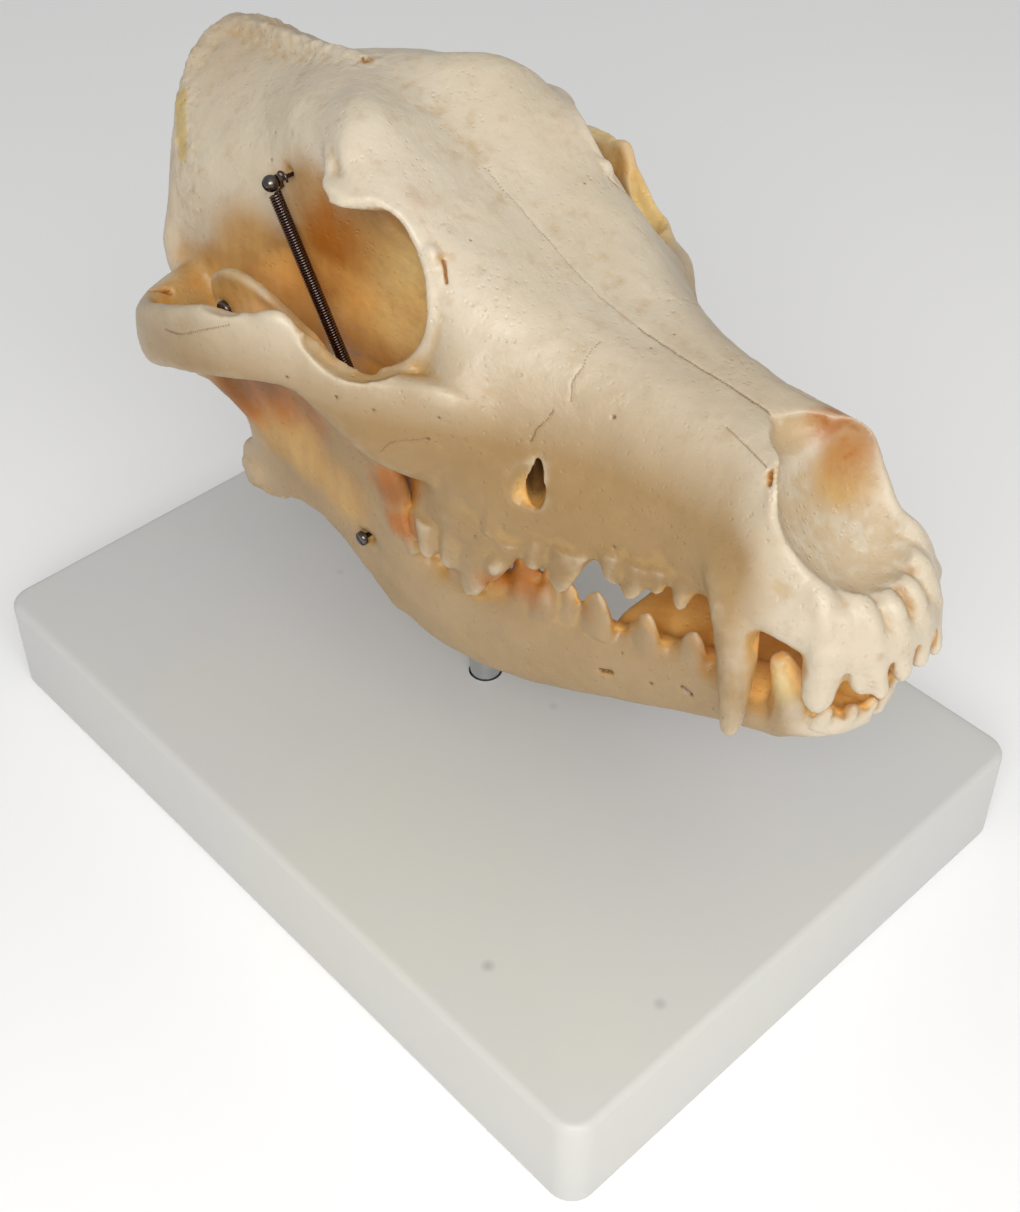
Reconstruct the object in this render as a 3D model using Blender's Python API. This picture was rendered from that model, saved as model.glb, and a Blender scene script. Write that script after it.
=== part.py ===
"""A life-size cast of a large dog's skull on its display stand.

The muzzle points along +X, the animal's left is +Y and Z is up. The origin is
the middle of the underside of the base. Sizes below are millimetres.
"""
import math

import bmesh
import bpy
import numpy as np
from mathutils import Matrix, Vector
from mathutils.bvhtree import BVHTree

MM = 0.001
FIT_GAP = 0.3

# Base plate, moulded with a slight flare towards the floor.
BASE_LENGTH = 240.0
BASE_WIDTH = 168.0
BASE_HEIGHT = 32.0
BASE_FLARE = 0.8
BASE_CORNER_RADIUS = 4.5
BASE_TOP_ROUND = 3.5
BASE_FOOT_ROUND = 1.0

# Rod that carries the skull.
ROD_RADIUS = 4.5
ROD_SINK = 12.0
ROD_TOP = 104.0
SOCKET_RADIUS = 8.0
SOCKET_BOTTOM = 94.0
SOCKET_TOP = 120.0

# Springs between the temples and the jaw, with their screws, given for the right side.
ANCHOR_CENTRE = (-35.0, -30.6, 151.1)
ANCHOR_BALL_RADIUS = 2.3
ANCHOR_DEPTH = 5.0
JAW_EYE_CENTRE = (0.3, -25.5, 74.0)
JAW_EYE_RADIUS = 1.9
CORONOID_SCREW = (-40.0, 122.5)
CORONOID_SCREW_DEPTH = 5.2
SCREW_HEAD_RADIUS = 1.8
SCREW_HEAD_HEIGHT = 1.4
SHANK_RADIUS = 1.0
SCREW_START = 60.0
BORE_RUN_OUT = 3.0
SPRING_RADIUS = 1.5
SPRING_HOOK_RADIUS = 0.6
SPRING_HOOK_LENGTH = 2.4

# Girth of a tooth from inside the gum (below 0) up to its tip (1), as shares of its neck.
CROWN_PROFILE = ((-0.5, 0.85), (0.0, 1.0), (0.35, 0.96), (0.65, 0.74), (0.88, 0.42), (1.0, 0.16))
SINGLE_CUSP = ((0.0, 1.0, 1.0),)
PREMOLAR_CUSPS = ((0.05, 1.0, 0.62), (-0.62, 0.42, 0.42), (0.62, 0.35, 0.40))

# Condyle of the jaw, and the socket that is cut for it.
CONDYLE_CENTRE = (-51.5, -41.0, 101.0)
CONDYLE_RADII = (4.0, 8.2, 4.0)
CONDYLE_TURN = (0.0, 0.0, 6.0)

# Bone surfaces are rebuilt on a fine grid, eased and thinned to these counts.
BONE_GRID = 0.8
CRANIUM_TRIANGLES = 9600
MANDIBLE_TRIANGLES = 4400


def clear_scene():
    for item in list(bpy.data.objects):
        bpy.data.objects.remove(item, do_unlink=True)


def material(name, colour, roughness, metallic=0.0):
    made = bpy.data.materials.new(name)
    made.use_nodes = True
    shader = made.node_tree.nodes["Principled BSDF"]
    shader.inputs["Base Color"].default_value = (*colour, 1.0)
    shader.inputs["Roughness"].default_value = roughness
    shader.inputs["Metallic"].default_value = metallic
    return made


def smooth_rows(rows, steps):
    """Rows of numbers joined by one smooth curve, with the given steps between rows."""
    rows = np.array(rows, float)
    last = len(rows) - 1
    slopes = np.zeros_like(rows)
    slopes[0] = rows[1] - rows[0]
    slopes[last] = rows[last] - rows[last - 1]
    for i in range(1, last):
        slopes[i] = (rows[i + 1] - rows[i - 1]) / 2.0
    result = []
    for i in range(last):
        for step in range(steps):
            t = step / steps
            result.append(
                rows[i] * (2 * t**3 - 3 * t**2 + 1)
                + slopes[i] * (t**3 - 2 * t**2 + t)
                + rows[i + 1] * (3 * t**2 - 2 * t**3)
                + slopes[i + 1] * (t**3 - t**2)
            )
    result.append(rows[last])
    return np.array(result)


def mesh_object(name, verts, faces):
    """A closed mesh object from millimetre points, its faces turned outward."""
    mesh = bpy.data.meshes.new(name)
    shape = bmesh.new()
    made = [shape.verts.new(Vector(p) * MM) for p in verts]
    for face in faces:
        shape.faces.new([made[i] for i in face])
    bmesh.ops.recalc_face_normals(shape, faces=shape.faces)
    shape.to_mesh(mesh)
    shape.free()
    item = bpy.data.objects.new(name, mesh)
    bpy.context.collection.objects.link(item)
    return item


def skin_rings(name, rings):
    """A closed skin over rings of equally many points, with a fan at each end."""
    count = len(rings[0])
    verts = [tuple(p) for ring in rings for p in ring]
    faces = []
    for i in range(len(rings) - 1):
        for j in range(count):
            k = (j + 1) % count
            faces.append((i * count + j, i * count + k, (i + 1) * count + k, (i + 1) * count + j))
    for start in (0, (len(rings) - 1) * count):
        centre = np.mean([verts[start + j] for j in range(count)], axis=0)
        verts.append(tuple(centre))
        hub = len(verts) - 1
        for j in range(count):
            faces.append((start + j, start + (j + 1) % count, hub))
    return mesh_object(name, verts, faces)


def closed_outline(half, steps):
    """A closed smooth outline from the right half given as (width, height) points."""
    half = np.array(half, float)
    mirrored = half[-2:0:-1] * (-1.0, 1.0)
    loop = np.vstack([half, mirrored])
    count = len(loop)
    result = []
    for i in range(count):
        before = loop[i - 1]
        here = loop[i]
        there = loop[(i + 1) % count]
        after = loop[(i + 2) % count]
        for step in range(steps):
            t = step / steps
            result.append(
                here * (2 * t**3 - 3 * t**2 + 1)
                + (there - before) / 2 * (t**3 - 2 * t**2 + t)
                + there * (3 * t**2 - 2 * t**3)
                + (after - here) / 2 * (t**3 - t**2)
            )
    return np.array(result)


def length_loft(name, rows, between=4, around=4):
    """A body along X. Each row is x, top, then (width, height) pairs, then bottom."""
    rings = []
    for row in smooth_rows(rows, between):
        x = row[0]
        half = [(0.0, row[1])]
        for i in range(2, len(row) - 1, 2):
            half.append((row[i], row[i + 1]))
        half.append((0.0, row[-1]))
        rings.append([(x, y, z + BASE_HEIGHT) for y, z in closed_outline(half, around)])
    return skin_rings(name, rings)


def limb(name, rows, between=5, around=16, fullness=1.0):
    """A bar along a path. Each row is x, y, z, half height, half thickness."""
    path = smooth_rows(rows, between)
    rings = []
    for i, row in enumerate(path):
        before = path[max(i - 1, 0)][:3]
        after = path[min(i + 1, len(path) - 1)][:3]
        along = Vector(after - before).normalized()
        side = along.cross(Vector((0, 0, 1)))
        if side.length < 0.2:
            side = along.cross(Vector((1, 0, 0)))
        side.normalize()
        up = side.cross(along).normalized()
        ring = []
        for j in range(around):
            angle = math.tau * j / around
            rise = math.copysign(abs(math.cos(angle)) ** fullness, math.cos(angle))
            spread = math.copysign(abs(math.sin(angle)) ** fullness, math.sin(angle))
            centre = Vector((row[0], row[1], row[2] + BASE_HEIGHT))
            ring.append(tuple(centre + up * (row[3] * rise) + side * (row[4] * spread)))
        rings.append(ring)
    return skin_rings(name, rings)


def ball(name, centre, radii, turn=(0.0, 0.0, 0.0)):
    """An egg shape from its centre, three radii and turns in degrees."""
    mesh = bpy.data.meshes.new(name)
    shape = bmesh.new()
    bmesh.ops.create_uvsphere(shape, u_segments=24, v_segments=12, radius=1.0)
    place = Matrix.Translation(Vector((centre[0], centre[1], centre[2] + BASE_HEIGHT)) * MM)
    for axis, degrees in zip("XYZ", turn):
        place = place @ Matrix.Rotation(math.radians(degrees), 4, axis)
    place = place @ Matrix.Diagonal((radii[0] * MM, radii[1] * MM, radii[2] * MM, 1.0))
    shape.transform(place)
    shape.to_mesh(mesh)
    shape.free()
    item = bpy.data.objects.new(name, mesh)
    bpy.context.collection.objects.link(item)
    return item


def plate(name, outline, surface, thickness, steps=3):
    """A plate whose outline is given as (x, z) points; surface gives its middle y."""
    closed = np.array(outline, float)
    count = len(closed)
    points = []
    for i in range(count):
        before = closed[i - 1]
        here = closed[i]
        there = closed[(i + 1) % count]
        after = closed[(i + 2) % count]
        for step in range(steps):
            t = step / steps
            points.append(
                here * (2 * t**3 - 3 * t**2 + 1)
                + (there - before) / 2 * (t**3 - 2 * t**2 + t)
                + there * (3 * t**2 - 2 * t**3)
                + (after - here) / 2 * (t**3 - t**2)
            )
    verts = []
    for side in (-1, 1):
        for x, z in points:
            verts.append((x, surface(x, z) + side * thickness(x, z), z + BASE_HEIGHT))
    total = len(points)
    faces = [tuple(range(total)), tuple(range(2 * total - 1, total - 1, -1))]
    for i in range(total):
        j = (i + 1) % total
        faces.append((i, j, total + j, total + i))
    return mesh_object(name, verts, faces)


def mirrored(item, name):
    """A copy of an object on the other side of the middle plane."""
    copy = item.copy()
    copy.data = item.data.copy()
    copy.name = name
    copy.data.transform(Matrix.Diagonal((1.0, -1.0, 1.0, 1.0)))
    copy.data.flip_normals()
    bpy.context.collection.objects.link(copy)
    return copy


def both_sides(items):
    return items + [mirrored(item, item.name + " left") for item in items]


def apply_modifiers(item):
    graph = bpy.context.evaluated_depsgraph_get()
    mesh = bpy.data.meshes.new_from_object(item.evaluated_get(graph), depsgraph=graph)
    old = item.data
    item.modifiers.clear()
    item.data = mesh
    bpy.data.meshes.remove(old)


def join_boolean(item, pieces, operation):
    """One Boolean of a collection of closed pieces, applied, with the pieces removed."""
    group = bpy.data.collections.new(item.name + " " + operation.lower())
    bpy.context.scene.collection.children.link(group)
    for piece in pieces:
        group.objects.link(piece)
        bpy.context.collection.objects.unlink(piece)
    cut = item.modifiers.new(operation.title(), "BOOLEAN")
    cut.operation = operation
    cut.operand_type = "COLLECTION"
    cut.collection = group
    cut.solver = "MANIFOLD"
    apply_modifiers(item)
    for piece in pieces:
        bpy.data.objects.remove(piece, do_unlink=True)
    bpy.data.collections.remove(group)


def keep_largest(item):
    """Only the largest closed surface of the mesh stays."""
    shape = bmesh.new()
    shape.from_mesh(item.data)
    left = set(shape.verts)
    groups = []
    while left:
        start = left.pop()
        group = [start]
        queue = [start]
        while queue:
            for edge in queue.pop().link_edges:
                for vert in edge.verts:
                    if vert in left:
                        left.remove(vert)
                        group.append(vert)
                        queue.append(vert)
        groups.append(group)
    groups.sort(key=len, reverse=True)
    for group in groups[1:]:
        bmesh.ops.delete(shape, geom=group, context="VERTS")
    shape.to_mesh(item.data)
    shape.free()


def even_surface(item, grid, passes):
    """The surface is rebuilt as one even skin and eased."""
    remesh = item.modifiers.new("Rebuild", "REMESH")
    remesh.mode = "VOXEL"
    remesh.voxel_size = grid * MM
    ease = item.modifiers.new("Ease", "SMOOTH")
    ease.factor = 0.5
    ease.iterations = passes
    apply_modifiers(item)


def thin_out(item, triangles):
    """The mesh is thinned to about the given number of triangles."""
    shape = bmesh.new()
    shape.from_mesh(item.data)
    bmesh.ops.triangulate(shape, faces=shape.faces)
    total = len(shape.faces)
    shape.to_mesh(item.data)
    shape.free()
    thin = item.modifiers.new("Thin", "DECIMATE")
    thin.ratio = triangles / total
    apply_modifiers(item)


def finish(item, name, finish_material, smooth=True):
    item.name = name
    item.data.name = name
    item.data.materials.clear()
    item.data.materials.append(finish_material)
    for face in item.data.polygons:
        face.use_smooth = smooth
    return item


def tooth(name, root, tip, length, width, cusps):
    """A tooth grown from its root point to its tip, with cusps along the jaw.

    Root and tip are x, y, z; length runs along X and width along Y at the neck.
    Each cusp is a place along the crown from -1 to 1 and its share of the height.
    """
    root = np.array(root, float)
    tip = np.array(tip, float)
    parts = []
    for number, (place, height, share) in enumerate(cusps):
        top = tip + (place * length / 2, 0.0, (root[2] - tip[2]) * (1.0 - height))
        base = root + (place * length / 2, 0.0, 0.0)
        rows = []
        for t, girth in CROWN_PROFILE:
            at = base + (top - base) * t
            rows.append((*at, girth * length * share / 2, girth * width / 2))
        parts.append(upright(f"{name} cusp {number}", rows))
    return parts


def upright(name, rows, around=10):
    """A form that stands along Z. Each row is x, y, z, half length, half width."""
    rings = []
    for x, y, z, half_length, half_width in rows:
        ring = []
        for j in range(around):
            angle = math.tau * j / around
            ring.append(
                (x + half_length * math.cos(angle), y + half_width * math.sin(angle), z + BASE_HEIGHT)
            )
        rings.append(ring)
    return skin_rings(name, rings)


def turned(name, start, along, profile, around=12):
    """A round form on a straight axis. Each profile row is distance along it and radius."""
    along = Vector(along).normalized()
    side = along.cross(Vector((0.0, 0.0, 1.0)))
    if side.length < 0.2:
        side = Vector((1.0, 0.0, 0.0))
    side.normalize()
    up = side.cross(along)
    rings = []
    for distance, radius in profile:
        centre = Vector(start) + along * distance
        centre.z += BASE_HEIGHT
        ring = []
        for j in range(around):
            angle = math.tau * j / around
            ring.append(tuple(centre + side * (radius * math.cos(angle)) + up * (radius * math.sin(angle))))
        rings.append(ring)
    return skin_rings(name, rings)


def clear_distance(item, start, along, radius=0.0):
    """How far a round bar of a radius goes along a line before it meets an object."""
    mesh = item.data
    tree = BVHTree.FromPolygons([v.co for v in mesh.vertices], [tuple(p.vertices) for p in mesh.polygons])
    along = Vector(along)
    nearest = math.inf
    for side_x, side_z in ((0, 0), (1, 0), (-1, 0), (0, 1), (0, -1)):
        place = Vector((start[0] + side_x * radius, start[1], start[2] + side_z * radius + BASE_HEIGHT))
        distance = tree.ray_cast(place * MM, along)[3]
        if distance is not None:
            nearest = min(nearest, distance / MM)
    return nearest


def make_cranium(bone):
    # The face from the incisor bone to the front of the orbits.
    # x, top, nasal edge, cheek, gum edge, palate edge, palate.
    face = length_loft(
        "face",
        [
            (129.0, 107.0, 3.0, 106.8, 5.0, 105.0, 5.5, 102.5, 3.5, 101.5, 102.5),
            (126.0, 110.0, 6.0, 110.2, 10.8, 107.5, 12.2, 102.5, 8.0, 100.5, 103.5),
            (119.5, 113.5, 11.0, 115.4, 16.2, 111.5, 17.3, 103.0, 11.0, 100.5, 105.0),
            (112.5, 117.0, 14.0, 118.6, 18.9, 113.5, 19.2, 104.5, 12.5, 102.0, 107.0),
            (107.0, 120.0, 14.4, 121.5, 19.6, 115.5, 20.8, 106.5, 14.0, 102.5, 108.0),
            (103.0, 128.5, 14.0, 128.5, 19.2, 119.5, 22.0, 108.0, 15.0, 103.5, 108.3),
            (99.0, 137.0, 13.0, 136.4, 18.8, 124.5, 22.3, 108.5, 15.5, 103.0, 108.5),
            (87.0, 138.2, 11.5, 137.0, 18.6, 125.0, 21.6, 107.5, 16.5, 102.8, 109.0),
            (75.0, 139.0, 11.8, 137.4, 19.5, 125.0, 22.8, 106.5, 18.0, 101.5, 108.5),
            (62.0, 139.9, 13.0, 138.4, 22.8, 124.5, 27.5, 104.5, 22.0, 98.5, 106.5),
            (50.0, 141.0, 15.5, 140.0, 27.5, 124.0, 32.5, 104.0, 25.5, 94.0, 104.0),
            (40.0, 143.0, 18.5, 142.6, 31.0, 126.0, 36.2, 105.0, 28.0, 90.5, 101.5),
            (31.0, 145.8, 21.0, 146.3, 32.3, 130.5, 38.5, 107.0, 28.0, 88.5, 99.5),
            (24.0, 148.7, 23.0, 149.7, 32.0, 135.5, 39.0, 110.0, 28.0, 92.0, 99.5),
            (14.5, 152.8, 24.8, 153.0, 30.3, 141.5, 38.0, 114.0, 26.0, 97.0, 99.5),
        ],
    )
    # The frontal shelf, the orbit walls and the roof over the throat.
    # x, top, dome, frontal edge, upper wall, lower wall, underside edge, underside.
    core = length_loft(
        "core",
        [
            (48.0, 139.5, 5.0, 139.5, 9.0, 138.0, 13.0, 126.0, 13.0, 112.0, 9.0, 104.0, 103.0),
            (34.0, 144.3, 9.0, 145.0, 19.0, 144.0, 20.0, 134.0, 17.0, 112.0, 13.0, 99.0, 100.0),
            (20.0, 150.4, 9.0, 151.2, 19.5, 151.8, 18.0, 141.0, 16.0, 112.0, 13.0, 97.0, 99.5),
            (12.0, 153.8, 11.0, 155.4, 26.3, 154.6, 19.0, 145.0, 15.5, 113.0, 12.5, 95.5, 99.0),
            (5.0, 156.8, 13.0, 159.5, 28.0, 160.2, 19.0, 148.5, 15.0, 115.0, 12.0, 93.5, 98.5),
            (-2.0, 160.2, 15.0, 164.2, 29.5, 162.2, 20.5, 150.0, 15.0, 115.0, 12.0, 92.0, 98.0),
            (-7.0, 163.0, 17.0, 167.6, 31.5, 161.6, 22.0, 150.0, 15.5, 115.0, 12.0, 91.5, 97.0),
            (-13.0, 165.9, 16.5, 171.2, 28.0, 165.6, 21.5, 151.0, 17.0, 116.0, 12.0, 91.0, 96.0),
            (-20.0, 168.2, 15.5, 172.0, 25.5, 165.4, 23.5, 150.0, 19.5, 118.0, 12.0, 91.5, 95.0),
            (-29.0, 169.4, 11.0, 170.0, 22.5, 162.8, 26.0, 148.0, 23.0, 119.0, 12.0, 92.5, 94.0),
            (-40.0, 168.2, 8.5, 167.2, 19.0, 160.2, 25.5, 147.5, 26.0, 120.0, 12.0, 93.0, 93.0),
            (-53.0, 164.5, 7.0, 163.0, 16.0, 157.5, 24.5, 147.0, 26.0, 120.0, 12.0, 93.0, 93.0),
        ],
    )
    # The braincase.
    braincase = length_loft(
        "braincase",
        [
            (-21.0, 166.0, 12.0, 165.5, 22.5, 153.5, 20.0, 130.0, 12.0, 108.0, 102.0),
            (-30.0, 167.0, 12.0, 164.0, 25.0, 149.5, 24.8, 126.0, 17.0, 103.0, 95.5),
            (-40.0, 166.0, 12.5, 162.0, 27.0, 147.0, 29.5, 124.0, 21.0, 99.0, 92.5),
            (-52.0, 164.0, 13.5, 159.8, 28.8, 145.5, 33.5, 123.0, 25.0, 99.0, 92.0),
            (-64.0, 162.5, 14.0, 158.3, 29.5, 144.5, 34.5, 122.0, 28.0, 101.0, 92.5),
            (-74.0, 161.5, 14.5, 157.0, 28.5, 144.0, 34.5, 121.0, 27.0, 102.0, 94.0),
            (-81.0, 161.0, 14.0, 156.8, 25.0, 146.5, 29.5, 124.0, 20.0, 104.0, 97.0),
            (-87.5, 160.5, 11.5, 157.0, 19.0, 149.5, 21.0, 126.0, 12.0, 108.0, 101.0),
        ],
    )
    # The blade along the middle of the braincase.
    crest = length_loft(
        "sagittal crest",
        [
            (-30.0, 168.3, 1.6, 167.6, 4.0, 163.0, 7.0, 156.0, 4.0, 150.0, 149.0),
            (-37.0, 169.6, 1.5, 169.0, 3.2, 164.5, 7.0, 158.0, 4.0, 150.0, 149.0),
            (-50.0, 168.6, 1.5, 167.9, 3.0, 163.5, 7.0, 157.5, 4.0, 150.0, 149.0),
            (-66.0, 166.8, 1.5, 166.0, 3.0, 161.5, 7.5, 155.0, 4.0, 148.0, 147.0),
            (-80.0, 165.2, 1.8, 164.2, 3.6, 159.0, 8.0, 151.0, 4.0, 144.0, 143.0),
            (-91.5, 163.0, 3.0, 161.5, 4.5, 157.0, 6.0, 150.0, 4.0, 146.0, 145.0),
        ],
    )
    # The back wall, as levels from the crown down to the foramen.
    levels = []
    for z, back, front, half_width in (
        (161.5, -91.0, -82.0, 5.0),
        (156.0, -89.5, -78.0, 13.0),
        (149.5, -87.0, -70.0, 20.0),
        (141.0, -82.0, -64.0, 26.5),
        (131.0, -78.0, -58.0, 31.0),
        (121.0, -77.0, -56.0, 34.0),
        (112.0, -77.5, -56.0, 33.5),
        (104.0, -81.0, -58.0, 26.0),
        (97.0, -82.0, -60.0, 15.0),
    ):
        levels.append(((back + front) / 2, 0.0, z, (front - back) / 2, half_width))
    occiput = upright("occiput", levels, around=28)

    vermis = ball("vermis bulge", (-74.0, 0.0, 132.0), (9.0, 8.0, 17.0), (0.0, -12.0, 0.0))

    sides = []
    # Nuchal crest from the crown down to the mastoid.
    sides.append(
        limb(
            "nuchal crest",
            [
                (-89.5, 0.5, 161.0, 2.2, 3.0),
                (-88.5, -9.0, 158.0, 2.2, 3.0),
                (-85.0, -16.5, 152.5, 2.4, 3.0),
                (-80.0, -22.5, 147.0, 2.6, 3.0),
                (-76.0, -26.5, 140.0, 2.8, 3.0),
                (-74.5, -31.0, 130.0, 3.0, 3.2),
                (-73.0, -34.0, 119.0, 3.6, 4.0),
                (-70.0, -33.5, 108.0, 3.0, 4.0),
            ],
        )
    )
    # The flank that fills in before the nuchal crest.
    sides.append(
        limb(
            "nuchal flank",
            [
                (-80.0, -4.0, 158.0, 3.5, 4.0),
                (-79.0, -10.0, 154.5, 4.5, 5.5),
                (-75.0, -16.0, 149.0, 5.0, 6.0),
                (-70.5, -20.5, 143.0, 5.5, 6.0),
                (-68.0, -24.5, 135.0, 6.0, 6.0),
                (-66.0, -28.0, 125.0, 6.0, 6.0),
            ],
        )
    )
    # Zygomatic arch from the cheek to the root above the ear.
    sides.append(
        limb(
            "zygomatic arch",
            [
                (50.0, -20.0, 112.0, 6.0, 4.0),
                (39.0, -27.5, 115.5, 11.0, 4.5),
                (29.0, -34.0, 118.0, 14.0, 4.5),
                (20.0, -40.5, 120.0, 13.3, 4.2),
                (12.0, -46.0, 123.8, 10.4, 3.6),
                (5.0, -48.6, 127.6, 8.8, 3.2),
                (-2.0, -51.3, 130.8, 8.3, 3.0),
                (-10.0, -54.7, 131.0, 8.8, 2.8),
                (-19.0, -58.0, 129.8, 9.3, 2.8),
                (-31.0, -59.7, 125.3, 8.6, 2.8),
                (-44.0, -59.2, 119.8, 8.2, 3.0),
                (-54.0, -56.0, 114.6, 8.0, 3.4),
                (-61.0, -49.0, 112.2, 7.8, 4.0),
                (-64.0, -39.0, 111.5, 7.5, 5.5),
                (-64.0, -28.0, 111.5, 7.0, 6.5),
            ],
            fullness=0.75,
        )
    )
    # The cheek, which runs out into the arch.
    sides.append(
        limb(
            "cheek",
            [
                (46.0, -23.0, 113.0, 9.0, 4.0),
                (38.0, -27.5, 115.0, 12.0, 6.0),
                (29.0, -32.5, 117.0, 13.5, 6.3),
                (20.0, -38.0, 119.5, 12.0, 5.4),
                (12.0, -43.0, 123.0, 9.0, 4.0),
            ],
        )
    )
    # Roof of the jaw joint and the hook behind it.
    sides.append(ball("jaw joint roof", (-56.5, -43.0, 109.5), (9.5, 14.0, 5.2)))
    sides.append(ball("retroarticular process", (-61.0, -38.0, 102.0), (3.0, 7.0, 8.0)))
    # Processes over the orbit.
    sides.append(
        limb(
            "postorbital process",
            [
                (-2.0, -20.0, 159.5, 3.6, 9.0),
                (-4.5, -27.0, 160.0, 2.8, 6.5),
                (-6.5, -32.0, 159.8, 1.8, 3.5),
                (-7.5, -35.0, 159.0, 0.9, 1.2),
            ],
        )
    )
    # The block that holds the molars under the orbit.
    sides.append(
        limb(
            "molar block",
            [
                (42.0, -28.0, 99.0, 10.0, 7.0),
                (30.0, -31.0, 98.0, 11.0, 7.5),
                (20.0, -30.5, 97.0, 10.0, 6.0),
                (11.0, -29.0, 97.0, 7.5, 4.8),
                (6.0, -27.0, 98.0, 4.5, 3.2),
            ],
        )
    )
    sides.append(ball("palate rear", (18.0, -16.0, 98.0), (13.0, 18.0, 4.0)))
    # Plates beside the throat.
    sides.append(
        plate(
            "pterygoid plate",
            [
                (22.0, 99.0), (12.0, 89.0), (0.0, 85.5), (-12.0, 84.0),
                (-19.0, 86.0), (-17.0, 92.0), (-10.0, 99.0), (8.0, 103.0),
            ],
            lambda x, z: -11.5,
            lambda x, z: 1.6,
        )
    )
    # Underside of the braincase.
    sides.append(ball("bulla", (-58.0, -18.0, 95.0), (12.0, 8.5, 9.0), (0.0, 0.0, 18.0)))
    sides.append(ball("occipital condyle", (-83.5, -10.5, 103.0), (6.5, 6.5, 8.5), (0.0, 0.0, -25.0)))
    sides.append(
        limb(
            "paroccipital process",
            [
                (-72.0, -25.0, 108.0, 5.0, 5.0),
                (-73.5, -25.0, 98.0, 4.0, 4.0),
                (-74.5, -24.0, 89.0, 2.6, 3.2),
                (-74.0, -23.5, 82.0, 1.4, 1.8),
            ],
            around=12,
        )
    )
    # Upper teeth of the right side: name, root, tip, length, width, cusps.
    for name, root, tip, length, width, cusps in (
        ("incisor 1", (126.4, -3.0, 105.0), (128.0, -3.0, 93.8), 5.6, 5.4, SINGLE_CUSP),
        ("incisor 2", (123.6, -8.8, 105.0), (125.4, -9.2, 92.4), 6.6, 6.0, SINGLE_CUSP),
        ("incisor 3", (117.6, -14.0, 105.5), (118.6, -16.0, 86.8), 8.6, 7.0, SINGLE_CUSP),
        ("premolar 1", (84.5, -19.8, 104.5), (84.5, -20.8, 97.0), 6.0, 4.0, SINGLE_CUSP),
        ("premolar 2", (72.5, -22.5, 103.5), (72.8, -23.6, 94.0), 11.5, 4.4, PREMOLAR_CUSPS),
        ("premolar 3", (56.0, -27.5, 100.0), (56.0, -28.8, 87.3), 14.0, 5.2, PREMOLAR_CUSPS),
        ("carnassial", (36.0, -33.0, 93.0), (35.0, -35.0, 74.5), 20.0, 7.4,
         ((0.0, 1.0, 0.52), (-0.62, 0.75, 0.48), (0.66, 0.38, 0.36))),
        ("molar 1", (20.0, -34.0, 92.0), (20.0, -36.5, 82.0), 12.5, 7.4,
         ((0.35, 1.0, 0.56), (-0.40, 0.9, 0.52))),
        ("molar 2", (11.0, -29.0, 93.5), (11.0, -29.5, 87.0), 6.0, 5.8, SINGLE_CUSP),
    ):
        sides.extend(tooth("upper " + name, root, tip, length, width, cusps))
    # The inner shelves of the molars.
    sides.append(ball("upper molar 1 shelf", (19.5, -26.0, 88.5), (5.5, 8.0, 4.0)))
    sides.append(ball("upper molar 2 shelf", (10.0, -25.5, 90.5), (3.5, 5.0, 3.2)))
    sides.append(ball("upper carnassial inner cusp", (49.0, -25.5, 95.0), (3.5, 4.0, 4.0)))
    # The canine and the swelling over its root.
    sides.append(
        limb(
            "upper canine",
            [
                (88.0, -17.0, 117.0, 4.0, 3.6),
                (94.5, -18.6, 111.5, 5.6, 4.8),
                (98.5, -20.2, 103.5, 5.4, 4.6),
                (101.4, -22.0, 94.0, 4.2, 3.7),
                (103.0, -23.3, 85.0, 3.2, 2.9),
                (103.4, -23.9, 78.0, 2.1, 2.0),
                (103.2, -24.0, 74.5, 1.2, 1.2),
            ],
            around=14,
        )
    )
    pieces = [core, braincase, crest, occiput, vermis] + both_sides(sides)
    socket = upright(
        "socket",
        [
            (0.0, 0.0, SOCKET_BOTTOM, SOCKET_RADIUS, SOCKET_RADIUS),
            (0.0, 0.0, SOCKET_TOP, SOCKET_RADIUS, SOCKET_RADIUS),
        ],
        around=24,
    )
    pieces.append(socket)
    join_boolean(face, pieces, "UNION")

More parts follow.
